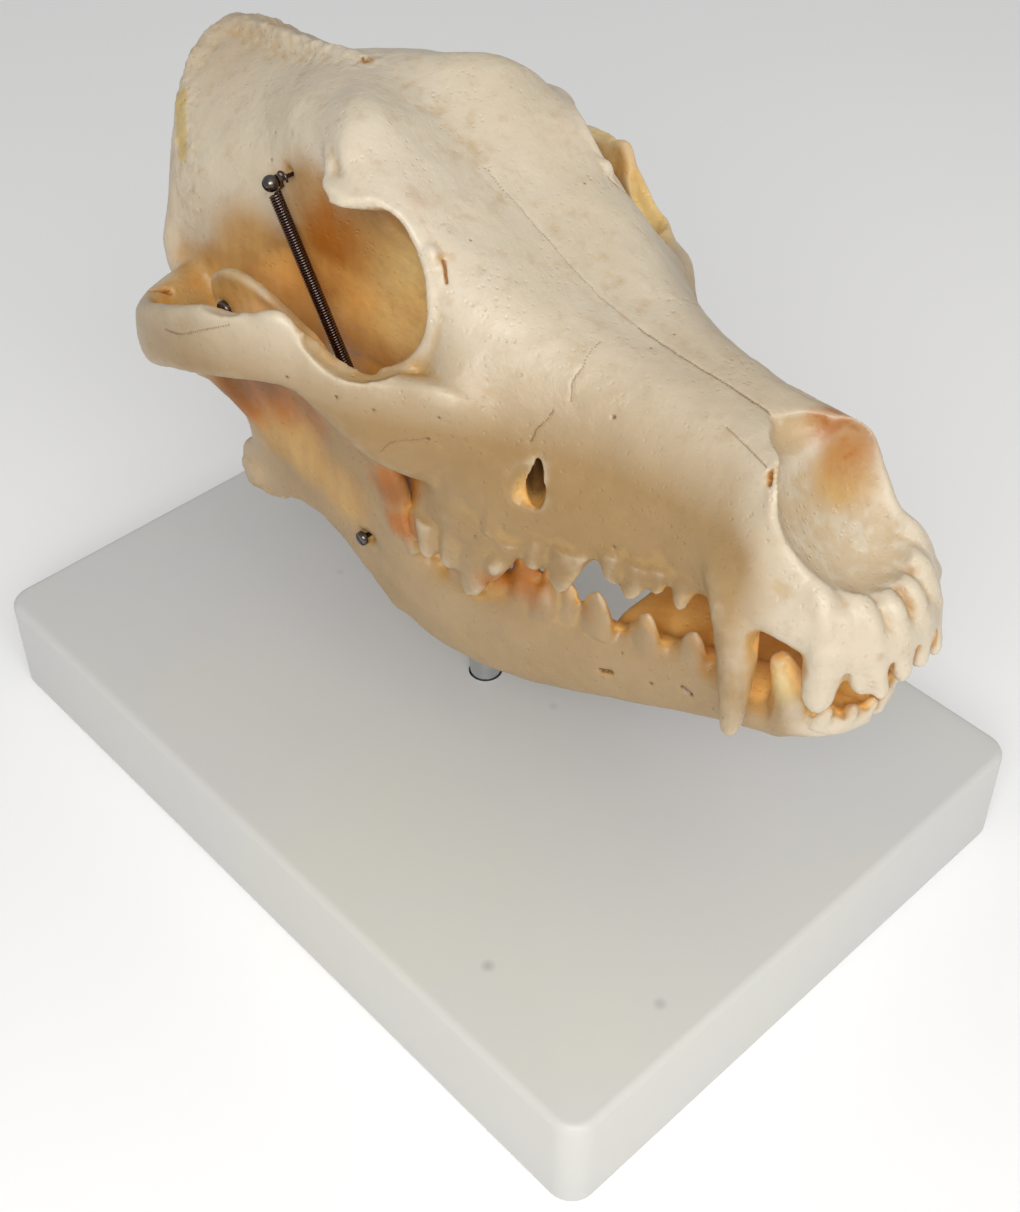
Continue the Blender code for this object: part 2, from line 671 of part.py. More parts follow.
    # Openings.
    cuts = []
    cuts.append(
        length_loft(
            "nasal opening",
            [
                (134.0, 150.0, 11.0, 140.0, 12.5, 125.0, 11.0, 114.0, 6.0, 110.5, 110.0),
                (118.0, 150.0, 11.0, 140.0, 12.5, 125.0, 11.0, 114.0, 6.0, 110.5, 110.0),
                (110.0, 146.0, 10.0, 140.0, 12.8, 125.0, 12.5, 115.0, 6.0, 111.0, 110.5),
                (102.0, 135.0, 8.0, 133.0, 12.5, 126.0, 13.0, 116.0, 6.0, 111.5, 111.0),
                (94.0, 133.5, 7.0, 132.0, 11.5, 125.0, 12.5, 117.0, 6.0, 112.5, 112.0),
                (82.0, 131.0, 6.0, 130.0, 9.5, 124.5, 9.5, 118.0, 5.0, 114.5, 114.0),
                (72.0, 127.0, 2.0, 126.5, 4.0, 123.0, 4.0, 120.0, 2.0, 118.5, 118.0),
            ],
        )
    )
    cuts.append(
        length_loft(
            "throat passage",
            [
                (19.0, 95.0, 4.0, 95.0, 7.0, 92.0, 7.5, 80.0, 4.0, 76.0, 76.0),
                (8.0, 97.0, 5.0, 97.0, 8.5, 94.0, 8.5, 80.0, 4.0, 76.0, 76.0),
                (-24.0, 93.0, 5.0, 93.0, 8.5, 91.0, 8.5, 80.0, 4.0, 76.0, 76.0),
            ],
        )
    )
    cuts.append(
        limb(
            "notch between the nasal bones",
            [
                (86.0, 0.0, 140.0, 9.0, 0.6),
                (92.0, 0.0, 140.0, 10.0, 5.5),
                (99.0, 0.0, 140.0, 14.0, 11.3),
                (106.0, 0.0, 140.0, 16.0, 12.5),
            ],
            fullness=0.6,
        )
    )
    cuts.append(ball("foramen magnum", (-86.0, 0.0, 112.5), (22.0, 9.0, 7.5)))
    side_cuts = []
    side_cuts.append(ball("orbit", (-1.0, -33.0, 139.5), (19.0, 14.5, 16.0)))
    side_cuts.append(ball("infraorbital foramen", (48.5, -31.0, 114.5), (2.8, 7.5, 4.8), (0.0, 0.0, -30.0)))
    side_cuts.append(ball("ear opening", (-66.5, -32.0, 102.0), (3.2, 8.0, 3.6)))
    cuts.extend(both_sides(side_cuts))
    join_boolean(face, cuts, "DIFFERENCE")
    even_surface(face, BONE_GRID, 3)
    keep_largest(face)
    bore = upright(
        "socket bore",
        [
            (0.0, 0.0, SOCKET_BOTTOM - 10.0, ROD_RADIUS + FIT_GAP, ROD_RADIUS + FIT_GAP),
            (0.0, 0.0, ROD_TOP + FIT_GAP, ROD_RADIUS + FIT_GAP, ROD_RADIUS + FIT_GAP),
        ],
        around=24,
    )
    thin_out(face, CRANIUM_TRIANGLES)
    joint_radii = [radius + 0.2 + FIT_GAP for radius in CONDYLE_RADII]
    sockets = both_sides([ball("jaw joint socket", CONDYLE_CENTRE, joint_radii, CONDYLE_TURN)])
    join_boolean(face, [bore] + sockets, "DIFFERENCE")
    keep_largest(face)
    return finish(face, "cranium", bone)


def ramus_middle(x, z):
    """Middle of the ramus plate: it leans outward as it rises and as it runs back."""
    outward = max(z - 75.0, 0.0) * 0.12
    inward = max(x + 20.0, 0.0) * 0.06
    return -37.0 - outward + inward


def ramus_thickness(x, z):
    return 1.8 if z > 105.0 else 2.4


def make_mandible(bone):
    sides = []
    # Body of the jaw from the chin to the ramus: x, y, top, bottom, half thickness.
    rings = []
    for x, y, top, bottom, half in smooth_rows(
        [
            (123.0, -3.5, 81.5, 78.5, 2.6),
            (119.0, -6.0, 82.5, 75.5, 5.2),
            (110.0, -8.5, 83.0, 71.0, 7.0),
            (100.0, -10.5, 83.0, 67.5, 7.0),
            (88.0, -13.5, 81.5, 63.0, 6.0),
            (75.0, -17.5, 80.0, 58.8, 5.6),
            (60.0, -22.5, 78.5, 54.6, 5.5),
            (45.0, -27.0, 77.5, 51.0, 5.8),
            (30.0, -30.0, 75.5, 49.3, 6.0),
            (17.0, -32.3, 75.5, 50.5, 5.4),
            (6.0, -34.0, 78.0, 55.5, 4.4),
            (-6.0, -35.5, 82.0, 63.0, 3.4),
            (-18.0, -36.5, 88.0, 70.5, 2.4),
        ],
        4,
    ):
        ring = []
        for j in range(20):
            angle = math.tau * j / 20
            up = math.cos(angle)
            out = math.sin(angle)
            up = math.copysign(abs(up) ** 0.8, up)
            out = math.copysign(abs(out) ** 0.8, out)
            ring.append((x, y + half * out, (top + bottom) / 2 + (top - bottom) / 2 * up + BASE_HEIGHT))
        rings.append(ring)
    body = skin_rings("jaw body", rings)
    # Ramus with the coronoid process above and the angular process behind.
    sides.append(
        plate(
            "ramus",
            [
                (15.5, 74.0), (12.5, 85.0), (12.0, 96.0), (7.5, 108.0), (0.5, 119.5),
                (-6.5, 128.0), (-15.0, 133.5), (-25.0, 136.5), (-35.0, 135.5), (-42.0, 131.0),
                (-44.5, 124.0), (-41.5, 115.0), (-42.0, 106.5), (-48.0, 101.0), (-46.0, 93.5),
                (-42.5, 86.0), (-44.0, 79.0), (-49.0, 75.0), (-48.5, 68.0), (-43.0, 63.0),
                (-35.0, 63.5), (-29.0, 68.0), (-22.0, 70.0), (-14.0, 69.0), (-6.0, 65.0),
                (3.0, 58.0), (10.0, 55.0),
            ],
            ramus_middle,
            ramus_thickness,
        )
    )
    sides.append(
        limb(
            "coronoid front edge",
            [
                (15.5, -34.0, 74.0, 3.0, 3.4),
                (12.0, -37.3, 86.0, 2.8, 2.3),
                (11.6, -38.7, 95.5, 2.6, 1.9),
                (7.0, -39.9, 108.0, 2.3, 2.1),
                (-1.5, -41.3, 121.0, 1.9, 2.0),
                (-11.0, -42.5, 130.0, 1.6, 1.9),
            ],
            around=10,
        )
    )
    sides.append(ball("condyle", CONDYLE_CENTRE, CONDYLE_RADII, CONDYLE_TURN))
    sides.append(
        limb(
            "condyle neck",
            [
                (-34.0, -40.0, 90.0, 4.0, 2.6),
                (-43.0, -41.0, 95.0, 4.0, 3.2),
                (-51.0, -42.0, 99.0, 3.8, 4.0),
            ],
            around=10,
        )
    )
    sides.append(ball("angular process", (-43.5, -38.5, 68.5), (5.5, 3.4, 5.6), (0.0, -20.0, 0.0)))
    # The halves meet at the chin.
    sides.append(
        limb(
            "chin bridge",
            [
                (119.0, -1.0, 78.0, 2.6, 5.0),
                (110.0, -1.5, 76.0, 4.8, 7.0),
                (98.0, -2.0, 73.0, 5.4, 9.0),
                (86.0, -2.0, 71.5, 5.8, 11.0),
                (74.0, -2.0, 71.0, 5.4, 13.0),
                (65.0, -2.0, 71.5, 4.2, 14.0),
                (60.0, -2.0, 72.0, 2.4, 13.0),
            ],
        )
    )
    for name, root, tip, length, width, cusps in (
        ("incisor 1", (120.8, -2.1, 79.0), (122.0, -2.1, 86.0), 3.6, 3.4, SINGLE_CUSP),
        ("incisor 2", (119.6, -5.7, 79.5), (120.8, -6.0, 86.6), 4.0, 3.8, SINGLE_CUSP),
        ("incisor 3", (117.0, -9.3, 80.0), (118.0, -10.2, 87.4), 4.6, 4.4, SINGLE_CUSP),
        ("premolar 1", (94.5, -13.5, 82.0), (94.7, -13.8, 86.6), 4.2, 3.2, SINGLE_CUSP),
        ("premolar 2", (85.0, -16.0, 81.5), (85.5, -16.5, 88.0), 9.0, 4.0, PREMOLAR_CUSPS),
        ("premolar 3", (74.0, -19.2, 80.5), (74.5, -19.8, 88.0), 10.0, 4.3, PREMOLAR_CUSPS),
        ("premolar 4", (62.0, -22.8, 79.0), (62.5, -23.4, 88.5), 11.5, 5.0, PREMOLAR_CUSPS),
        ("carnassial", (44.0, -27.0, 77.0), (46.0, -27.8, 89.0), 21.0, 7.0,
         ((0.0, 1.0, 0.46), (0.60, 0.92, 0.42), (-0.66, 0.45, 0.40))),
        ("molar 2", (27.5, -30.2, 74.5), (27.5, -30.4, 80.5), 8.5, 6.0,
         ((0.3, 1.0, 0.7), (-0.35, 0.85, 0.65))),
        ("molar 3", (19.5, -31.8, 74.0), (19.5, -32.0, 78.0), 4.5, 4.2, SINGLE_CUSP),
    ):
        sides.extend(tooth("lower " + name, root, tip, length, width, cusps))
    sides.append(
        limb(
            "lower canine",
            [
                (104.0, -9.5, 70.0, 4.6, 4.0),
                (108.5, -11.8, 78.0, 5.4, 4.4),
                (110.0, -13.6, 85.0, 4.6, 3.8),
                (108.8, -15.2, 91.5, 3.1, 2.8),
                (107.0, -16.2, 96.5, 1.2, 1.2),
            ],
            around=12,
        )
    )
    join_boolean(body, both_sides(sides) + [mirrored(body, "jaw body left")], "UNION")
    # The hollow for the chewing muscle on the outer face of the ramus.
    hollows = both_sides([ball("muscle hollow", (-17.0, -56.0, 96.0), (24.0, 17.0, 27.0), (0.0, -20.0, 0.0))])
    join_boolean(body, hollows, "DIFFERENCE")
    even_surface(body, BONE_GRID, 3)
    keep_largest(body)
    thin_out(body, MANDIBLE_TRIANGLES)
    keep_largest(body)
    return finish(body, "mandible", bone)


def make_base(plastic):
    mesh = bpy.data.meshes.new("stand_base")
    shape = bmesh.new()
    corner_steps = 8
    rings = []
    top_steps = 5
    levels = [(-BASE_FOOT_ROUND, 0.0), (0.0, BASE_FOOT_ROUND)]
    levels.append((-BASE_FLARE, BASE_HEIGHT - BASE_TOP_ROUND))
    for step in range(1, top_steps + 1):
        angle = math.pi / 2 * step / top_steps
        inset = BASE_TOP_ROUND * (1 - math.cos(angle)) + BASE_FLARE
        levels.append((-inset, BASE_HEIGHT - BASE_TOP_ROUND * (1 - math.sin(angle))))
    for grow, z in levels:
        half_length = BASE_LENGTH / 2 + BASE_FLARE + grow
        half_width = BASE_WIDTH / 2 + BASE_FLARE + grow
        radius = BASE_CORNER_RADIUS + grow
        ring = []
        for quarter in range(4):
            sx = (1, -1, -1, 1)[quarter]
            sy = (1, 1, -1, -1)[quarter]
            for step in range(corner_steps + 1):
                angle = math.pi / 2 * (quarter + step / corner_steps)
                ring.append(
                    shape.verts.new(
                        Vector(
                            (
                                sx * (half_length - radius) + radius * math.cos(angle),
                                sy * (half_width - radius) + radius * math.sin(angle),
                                z,
                            )
                        )
                        * MM
                    )
                )
        rings.append(ring)
    for low, high in zip(rings, rings[1:]):
        for j in range(len(low)):
            k = (j + 1) % len(low)
            shape.faces.new((low[j], low[k], high[k], high[j]))
    shape.faces.new(list(reversed(rings[0])))
    shape.faces.new(rings[-1])
    shape.to_mesh(mesh)
    shape.free()
    base = bpy.data.objects.new("stand_base", mesh)
    bpy.context.collection.objects.link(base)
    bore = upright(
        "rod hole",
        [
            (0.0, 0.0, -ROD_SINK - FIT_GAP, ROD_RADIUS + FIT_GAP, ROD_RADIUS + FIT_GAP),
            (0.0, 0.0, 5.0, ROD_RADIUS + FIT_GAP, ROD_RADIUS + FIT_GAP),
        ],
        around=24,
    )
    join_boolean(base, [bore], "DIFFERENCE")
    return finish(base, "stand_base", plastic, smooth=False)


def make_rod(steel):
    rod = upright(
        "stand_rod",
        [
            (0.0, 0.0, -ROD_SINK, ROD_RADIUS, ROD_RADIUS),
            (0.0, 0.0, ROD_TOP - 1.0, ROD_RADIUS, ROD_RADIUS),
            (0.0, 0.0, ROD_TOP, ROD_RADIUS - 1.0, ROD_RADIUS - 1.0),
        ],
        around=24,
    )
    return finish(rod, "stand_rod", steel)


def make_anchor(side_name, side, cranium, steel):
    """Ball-headed screw in the temple that holds the upper end of a spring."""
    start = (ANCHOR_CENTRE[0], side * -ANCHOR_CENTRE[1], ANCHOR_CENTRE[2])
    inward = (0.0, -side, 0.0)
    wall = clear_distance(cranium, start, inward)
    bore = turned(
        "anchor hole",
        start,
        inward,
        [
            (wall - BORE_RUN_OUT, SHANK_RADIUS + FIT_GAP),
            (wall + ANCHOR_DEPTH + FIT_GAP, SHANK_RADIUS + FIT_GAP),
        ],
    )
    join_boolean(cranium, [bore], "DIFFERENCE")
    profile = []
    for degrees in range(-75, 61, 15):
        angle = math.radians(degrees)
        profile.append((ANCHOR_BALL_RADIUS * math.sin(angle), ANCHOR_BALL_RADIUS * math.cos(angle)))
    profile.append((ANCHOR_BALL_RADIUS, SHANK_RADIUS))
    profile.append((wall + ANCHOR_DEPTH, SHANK_RADIUS))
    anchor = turned("anchor", start, inward, profile)
    return finish(anchor, "spring_anchor_" + side_name, steel)


def make_jaw_screw(side_name, side, mandible, steel):
    """Screw through the jaw whose eye on the inner side holds the lower end of a spring."""
    x, y, z = JAW_EYE_CENTRE
    start = (x, side * SCREW_START, z)
    inward = (0.0, -side, 0.0)
    wall = clear_distance(mandible, start, inward, SCREW_HEAD_RADIUS) - FIT_GAP
    eye = SCREW_START + y
    bore = turned(
        "jaw screw hole",
        start,
        inward,
        [
            (wall - BORE_RUN_OUT, SHANK_RADIUS + FIT_GAP),
            (eye - JAW_EYE_RADIUS, SHANK_RADIUS + FIT_GAP),
        ],
    )
    join_boolean(mandible, [bore], "DIFFERENCE")
    profile = [
        (wall - SCREW_HEAD_HEIGHT, SCREW_HEAD_RADIUS * 0.6),
        (wall - SCREW_HEAD_HEIGHT * 0.6, SCREW_HEAD_RADIUS),
        (wall, SCREW_HEAD_RADIUS),
        (wall, SHANK_RADIUS),
    ]
    for degrees in range(-60, 76, 15):
        angle = math.radians(degrees)
        profile.append((eye + JAW_EYE_RADIUS * math.sin(angle), JAW_EYE_RADIUS * math.cos(angle)))
    screw = turned("jaw screw", start, inward, profile)
    return finish(screw, "jaw_screw_" + side_name, steel)


def make_coronoid_screw(side_name, side, mandible, steel):
    """Small screw near the top of the jaw's rear blade."""
    start = (CORONOID_SCREW[0], side * SCREW_START, CORONOID_SCREW[1])
    inward = (0.0, -side, 0.0)
    wall = clear_distance(mandible, start, inward, SCREW_HEAD_RADIUS) - FIT_GAP
    tip = wall + CORONOID_SCREW_DEPTH
    bore = turned(
        "coronoid screw hole",
        start,
        inward,
        [
            (wall - BORE_RUN_OUT, SHANK_RADIUS + FIT_GAP),
            (tip + BORE_RUN_OUT, SHANK_RADIUS + FIT_GAP),
        ],
    )
    join_boolean(mandible, [bore], "DIFFERENCE")
    profile = [
        (wall - SCREW_HEAD_HEIGHT, SCREW_HEAD_RADIUS * 0.6),
        (wall - SCREW_HEAD_HEIGHT * 0.6, SCREW_HEAD_RADIUS),
        (wall, SCREW_HEAD_RADIUS),
        (wall, SHANK_RADIUS),
        (tip - 1.0, SHANK_RADIUS),
        (tip, SHANK_RADIUS * 0.3),
    ]
    screw = turned("coronoid screw", start, inward, profile)
    return finish(screw, "coronoid_screw_" + side_name, steel)


def make_spring(side_name, side, steel):
    """Close-wound spring from the temple to the eye of the jaw screw, a hook at each end."""
    top = Vector((ANCHOR_CENTRE[0], side * -ANCHOR_CENTRE[1], ANCHOR_CENTRE[2]))
    bottom = Vector((JAW_EYE_CENTRE[0], side * -JAW_EYE_CENTRE[1], JAW_EYE_CENTRE[2]))
    along = bottom - top
    first = ANCHOR_BALL_RADIUS + FIT_GAP
    last = along.length - JAW_EYE_RADIUS - FIT_GAP
    profile = [
        (first, SPRING_HOOK_RADIUS),
        (first + SPRING_HOOK_LENGTH, SPRING_HOOK_RADIUS),
        (first + SPRING_HOOK_LENGTH, SPRING_RADIUS),
        (last - SPRING_HOOK_LENGTH, SPRING_RADIUS),
        (last - SPRING_HOOK_LENGTH, SPRING_HOOK_RADIUS),
        (last, SPRING_HOOK_RADIUS),
    ]
    spring = turned("spring", top, along, profile)
    return finish(spring, "spring_" + side_name, steel)


clear_scene()
bone_finish = material("bone_resin", (0.76, 0.68, 0.52), 0.45)
plate_finish = material("base_plastic", (0.78, 0.78, 0.80), 0.4)
rod_finish = material("rod_steel", (0.75, 0.76, 0.78), 0.25, 1.0)
spring_finish = material("spring_steel", (0.05, 0.045, 0.05), 0.35, 1.0)
cranium = make_cranium(bone_finish)
mandible = make_mandible(bone_finish)
make_base(plate_finish)
make_rod(rod_finish)
for side_name, side in (("right", -1.0), ("left", 1.0)):
    make_anchor(side_name, side, cranium, spring_finish)
    make_jaw_screw(side_name, side, mandible, spring_finish)
    make_coronoid_screw(side_name, side, mandible, spring_finish)
    make_spring(side_name, side, spring_finish)
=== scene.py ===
import math

import bmesh
import bpy
import numpy as np
from mathutils import Matrix, Vector, noise
from mathutils.bvhtree import BVHTree
from mathutils.kdtree import KDTree


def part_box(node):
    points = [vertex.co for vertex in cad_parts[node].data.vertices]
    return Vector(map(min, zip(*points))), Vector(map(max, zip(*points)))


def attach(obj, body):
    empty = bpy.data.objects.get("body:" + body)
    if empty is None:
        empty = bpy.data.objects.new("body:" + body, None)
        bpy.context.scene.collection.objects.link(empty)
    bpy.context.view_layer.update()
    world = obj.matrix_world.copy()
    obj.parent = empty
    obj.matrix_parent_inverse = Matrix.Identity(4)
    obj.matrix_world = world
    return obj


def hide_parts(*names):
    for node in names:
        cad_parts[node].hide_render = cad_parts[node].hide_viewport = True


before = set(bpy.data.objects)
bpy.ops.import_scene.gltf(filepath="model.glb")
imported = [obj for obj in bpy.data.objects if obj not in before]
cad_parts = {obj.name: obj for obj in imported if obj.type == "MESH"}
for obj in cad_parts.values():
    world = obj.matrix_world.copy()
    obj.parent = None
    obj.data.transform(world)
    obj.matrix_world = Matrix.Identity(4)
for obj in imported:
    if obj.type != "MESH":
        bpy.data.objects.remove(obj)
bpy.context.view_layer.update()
MM = 0.001


# The place where it is looked at: a pale floor under broad, soft studio lights.
# The camera stands in front and to the right of the skull, looking down at it.
CAMERA_PLACE = (0.24047, -0.21698, 0.36907)
CAMERA_TURN = (46.0465, 0.0188, 46.6954)
CAMERA_LENS = 48.805
FLOOR_RADIUS = 6.0
PAPER_TONES = ((0.94, 0.94, 0.94, 1.0), (0.96, 0.96, 0.96, 1.0))
SKY_LIGHT = 0.45
# Each softbox: name, place, aim, width, power and colour.
SOFTBOXES = (
    ("key softbox", (1.05, -0.42, 0.95), (0.0, 0.0, 0.12), 0.9, 7.4, (1.0, 0.99, 0.97)),
    ("fill softbox", (0.34, -0.42, 0.52), (0.0, 0.0, 0.13), 0.3, 2.0, (1.0, 0.99, 0.98)),
    ("top softbox", (0.25, -0.10, 1.40), (0.0, 0.0, 0.12), 1.4, 1.2, (1.0, 0.99, 0.97)),
)


def new_object(name, data):
    item = bpy.data.objects.new(name, data)
    bpy.context.scene.collection.objects.link(item)
    return item


def added(primitive, **options):
    """A new primitive, with nothing else selected."""
    bpy.ops.object.select_all(action="DESELECT")
    primitive(**options)
    return bpy.context.active_object


def new_material(name):
    """A material, its node tree and its shader."""
    material = bpy.data.materials.new(name)
    material.use_nodes = True
    return material, material.node_tree, material.node_tree.nodes["Principled BSDF"]


def add_softbox(name, place, aim, size, power, colour):
    lamp = bpy.data.lights.new(name, "AREA")
    lamp.shape = "DISK"
    lamp.size = size
    lamp.energy = power
    lamp.color = colour
    item = new_object(name, lamp)
    item.location = place
    item.rotation_euler = (Vector(aim) - Vector(place)).to_track_quat("-Z", "Y").to_euler()


def make_camera():
    lens = bpy.data.cameras.new("camera")
    lens.sensor_width = 36.0
    lens.lens = CAMERA_LENS
    lens.clip_start = 0.01
    item = new_object("camera", lens)
    item.location = CAMERA_PLACE
    item.rotation_euler = [math.radians(a) for a in CAMERA_TURN]
    bpy.context.scene.camera = item


def pale_paper():
    paper, tree, shader = new_material("pale_paper")
    shader.inputs["Roughness"].default_value = 0.9
    where = tree.nodes.new("ShaderNodeTexCoord")
    cloud = tree.nodes.new("ShaderNodeTexNoise")
    cloud.inputs["Scale"].default_value = 3.0
    tint = tree.nodes.new("ShaderNodeMix")
    tint.data_type = "RGBA"
    tint.inputs["A"].default_value, tint.inputs["B"].default_value = PAPER_TONES
    tree.links.new(where.outputs["Object"], cloud.inputs["Vector"])
    tree.links.new(cloud.outputs["Fac"], tint.inputs["Factor"])
    tree.links.new(tint.outputs["Result"], shader.inputs["Base Color"])
    return paper


make_camera()
floor = added(
    bpy.ops.mesh.primitive_circle_add,
    vertices=96,
    radius=FLOOR_RADIUS,
    fill_type="NGON",
    location=(0.0, 0.0, 0.0),
)
floor.name = "floor"
floor.data.materials.append(pale_paper())
for softbox in SOFTBOXES:
    add_softbox(*softbox)
world = bpy.data.worlds.new("studio")
bpy.context.scene.world = world
world.use_nodes = True
world.node_tree.nodes["Background"].inputs["Color"].default_value = (1.0, 1.0, 1.0, 1.0)
world.node_tree.nodes["Background"].inputs["Strength"].default_value = SKY_LIGHT
bpy.context.scene.view_settings.view_transform = "Standard"


# The base: a flat block of pale grey moulded plastic, 240 x 168 x 32 mm, on which all the rest stands.
# Its corners are rounded, its top edge is eased, and its sides lean in a little so that it left its mould.
BASE_FOOT = (241.6, 169.6)
BASE_HEIGHT = 32.0
BASE_TOP_SHARE = 240.0 / 241.6
BASE_CORNER = 7.0
BASE_TOP_EDGE = 2.2
BASE_FOOT_EDGE = 1.0
# The hole that the rod stands in: radius, length of the drill and height of its middle.
ROD_HOLE = (4.8, 24.0, 31.7)


def alone(item):
    """Selects one piece only and makes it the active one."""
    bpy.ops.object.select_all(action="DESELECT")
    item.select_set(True)
    bpy.context.view_layer.objects.active = item


def apply_all(item):
    alone(item)
    for modifier in list(item.modifiers):
        bpy.ops.object.modifier_apply(modifier=modifier.name)


def settle(item):
    """Puts a piece's place, turn and size into its mesh."""
    alone(item)
    bpy.ops.object.transform_apply(location=True, rotation=True, scale=True)
    return item


def boolean(item, other, operation, solver="MANIFOLD"):
    """Takes another form out of the piece, or unites the two, and removes the other one."""
    change = item.modifiers.new("boolean", "BOOLEAN")
    change.operation = operation
    change.solver = solver
    change.object = other
    apply_all(item)
    bpy.data.objects.remove(other)


def pick_edges(item, wanted):
    """Selects, in edit mode, the edges whose two ends satisfy a test."""
    shape = bmesh.from_edit_mesh(item.data)
    for edge in shape.edges:
        edge.select = wanted(edge.verts[0].co, edge.verts[1].co)
    bmesh.update_edit_mesh(item.data)


def bevel_edges(item, wanted, width, segments):
    pick_edges(item, wanted)
    bpy.ops.mesh.bevel(offset=width * MM, segments=segments, affect="EDGES")


def dress(item, material):
    """Gives the whole piece one material."""
    item.data.materials.clear()
    item.data.materials.append(material)
    item.data.polygons.foreach_set("material_index", [0] * len(item.data.polygons))


def new_group(name, *numbers):
    """A node group that makes a mask from a place and some numbers, with its inlets and outlets."""
    group = bpy.data.node_groups.new(name, "ShaderNodeTree")
    group.interface.new_socket("Vector", in_out="INPUT", socket_type="NodeSocketVector")
    for number in numbers:
        group.interface.new_socket(number, in_out="INPUT", socket_type="NodeSocketFloat")
    group.interface.new_socket("Mask", in_out="OUTPUT", socket_type="NodeSocketFloat")
    return group, group.nodes.new("NodeGroupInput").outputs, group.nodes.new("NodeGroupOutput").inputs


def add_math(tree, operation, *values, clamp=False):
    """Works something out from outputs and plain numbers."""
    node = tree.nodes.new("ShaderNodeMath")
    node.operation = operation
    node.use_clamp = clamp
    for socket, value in zip(node.inputs, values):
        if isinstance(value, float):
            socket.default_value = value
        else:
            tree.links.new(value, socket)
    return node.outputs["Value"]


def speck_group():
    """Small specks, 0 to 1, of the size and share that the sockets say."""
    group, given, made = new_group("specks", "Scale", "Size")
    cells = group.nodes.new("ShaderNodeTexVoronoi")
    fall = group.nodes.new("ShaderNodeMapRange")
    fall.inputs["From Min"].default_value = 0.0
    fall.inputs["To Min"].default_value = 1.0
    fall.inputs["To Max"].default_value = 0.0
    group.links.new(given["Vector"], cells.inputs["Vector"])
    group.links.new(given["Scale"], cells.inputs["Scale"])
    group.links.new(cells.outputs["Distance"], fall.inputs["Value"])
    group.links.new(given["Size"], fall.inputs["From Max"])
    group.links.new(fall.outputs["Result"], made["Mask"])
    return group


def cloud_group():
    """A soft mottle, 0 to 1, with finer ones mixed in."""
    group, given, made = new_group("mottle", "Scale", "Contrast")
    cloud = group.nodes.new("ShaderNodeTexNoise")
    cloud.inputs["Detail"].default_value = 5.0
    cloud.inputs["Roughness"].default_value = 0.6
    group.links.new(given["Vector"], cloud.inputs["Vector"])
    group.links.new(given["Scale"], cloud.inputs["Scale"])
    centre = add_math(group, "SUBTRACT", cloud.outputs["Fac"], 0.5)
    cut_off = add_math(group, "MULTIPLY_ADD", centre, given["Contrast"], 0.5, clamp=True)
    group.links.new(cut_off, made["Mask"])
    return group


specks = speck_group()
mottle = cloud_group()


def add_mask(tree, group, where, **numbers):
    """The mask that a node group makes with these numbers."""
    node = tree.nodes.new("ShaderNodeGroup")
    node.node_tree = group
    tree.links.new(where, node.inputs["Vector"])
    for name, number in numbers.items():
        node.inputs[name].default_value = number
    return node.outputs["Mask"]


def add_mix(tree, share, first, second):
    """Mixes two colours or colour outputs by a mask."""
    mix = tree.nodes.new("ShaderNodeMix")
    mix.data_type = "RGBA"
    tree.links.new(share, mix.inputs["Factor"])
    for socket, value in (("A", first), ("B", second)):
        if isinstance(value, tuple):
            mix.inputs[socket].default_value = (*value, 1.0)
        else:
            tree.links.new(value, mix.inputs[socket])
    return mix.outputs["Result"]


def add_gloss(tree, mask, low, high):
    """Makes the roughness go from low to high with a mask."""
    gloss = tree.nodes.new("ShaderNodeMapRange")
    gloss.inputs["To Min"].default_value = low
    gloss.inputs["To Max"].default_value = high
    tree.links.new(mask, gloss.inputs["Value"])
    tree.links.new(gloss.outputs["Result"], tree.nodes["Principled BSDF"].inputs["Roughness"])


def add_bump(tree, height, strength, distance):
    bump = tree.nodes.new("ShaderNodeBump")
    bump.inputs["Strength"].default_value = strength
    bump.inputs["Distance"].default_value = distance * MM
    tree.links.new(height, bump.inputs["Height"])
    return bump


def moulded_plastic():
    plastic, tree, shader = new_material("moulded_plastic")
    where = tree.nodes.new("ShaderNodeTexCoord").outputs["Object"]
    haze = add_mask(tree, mottle, where, Scale=9.0, Contrast=1.6)
    aged = add_mask(tree, mottle, where, Scale=7.0, Contrast=3.0)
    marks = add_mask(tree, specks, where, Scale=26.0, Size=0.055)
    skin = add_mask(tree, mottle, where, Scale=900.0, Contrast=1.0)
    grey = add_mix(tree, haze, (0.56, 0.555, 0.55), (0.61, 0.61, 0.605))
    yellowed = add_mix(tree, aged, (0.59, 0.59, 0.585), (0.61, 0.60, 0.52))
    colour = add_mix(tree, marks, add_mix(tree, haze, grey, yellowed), (0.42, 0.41, 0.40))
    tree.links.new(colour, shader.inputs["Base Color"])
    add_gloss(tree, haze, 0.42, 0.52)
    tree.links.new(add_bump(tree, skin, 0.25, 0.1).outputs["Normal"], shader.inputs["Normal"])
    return plastic


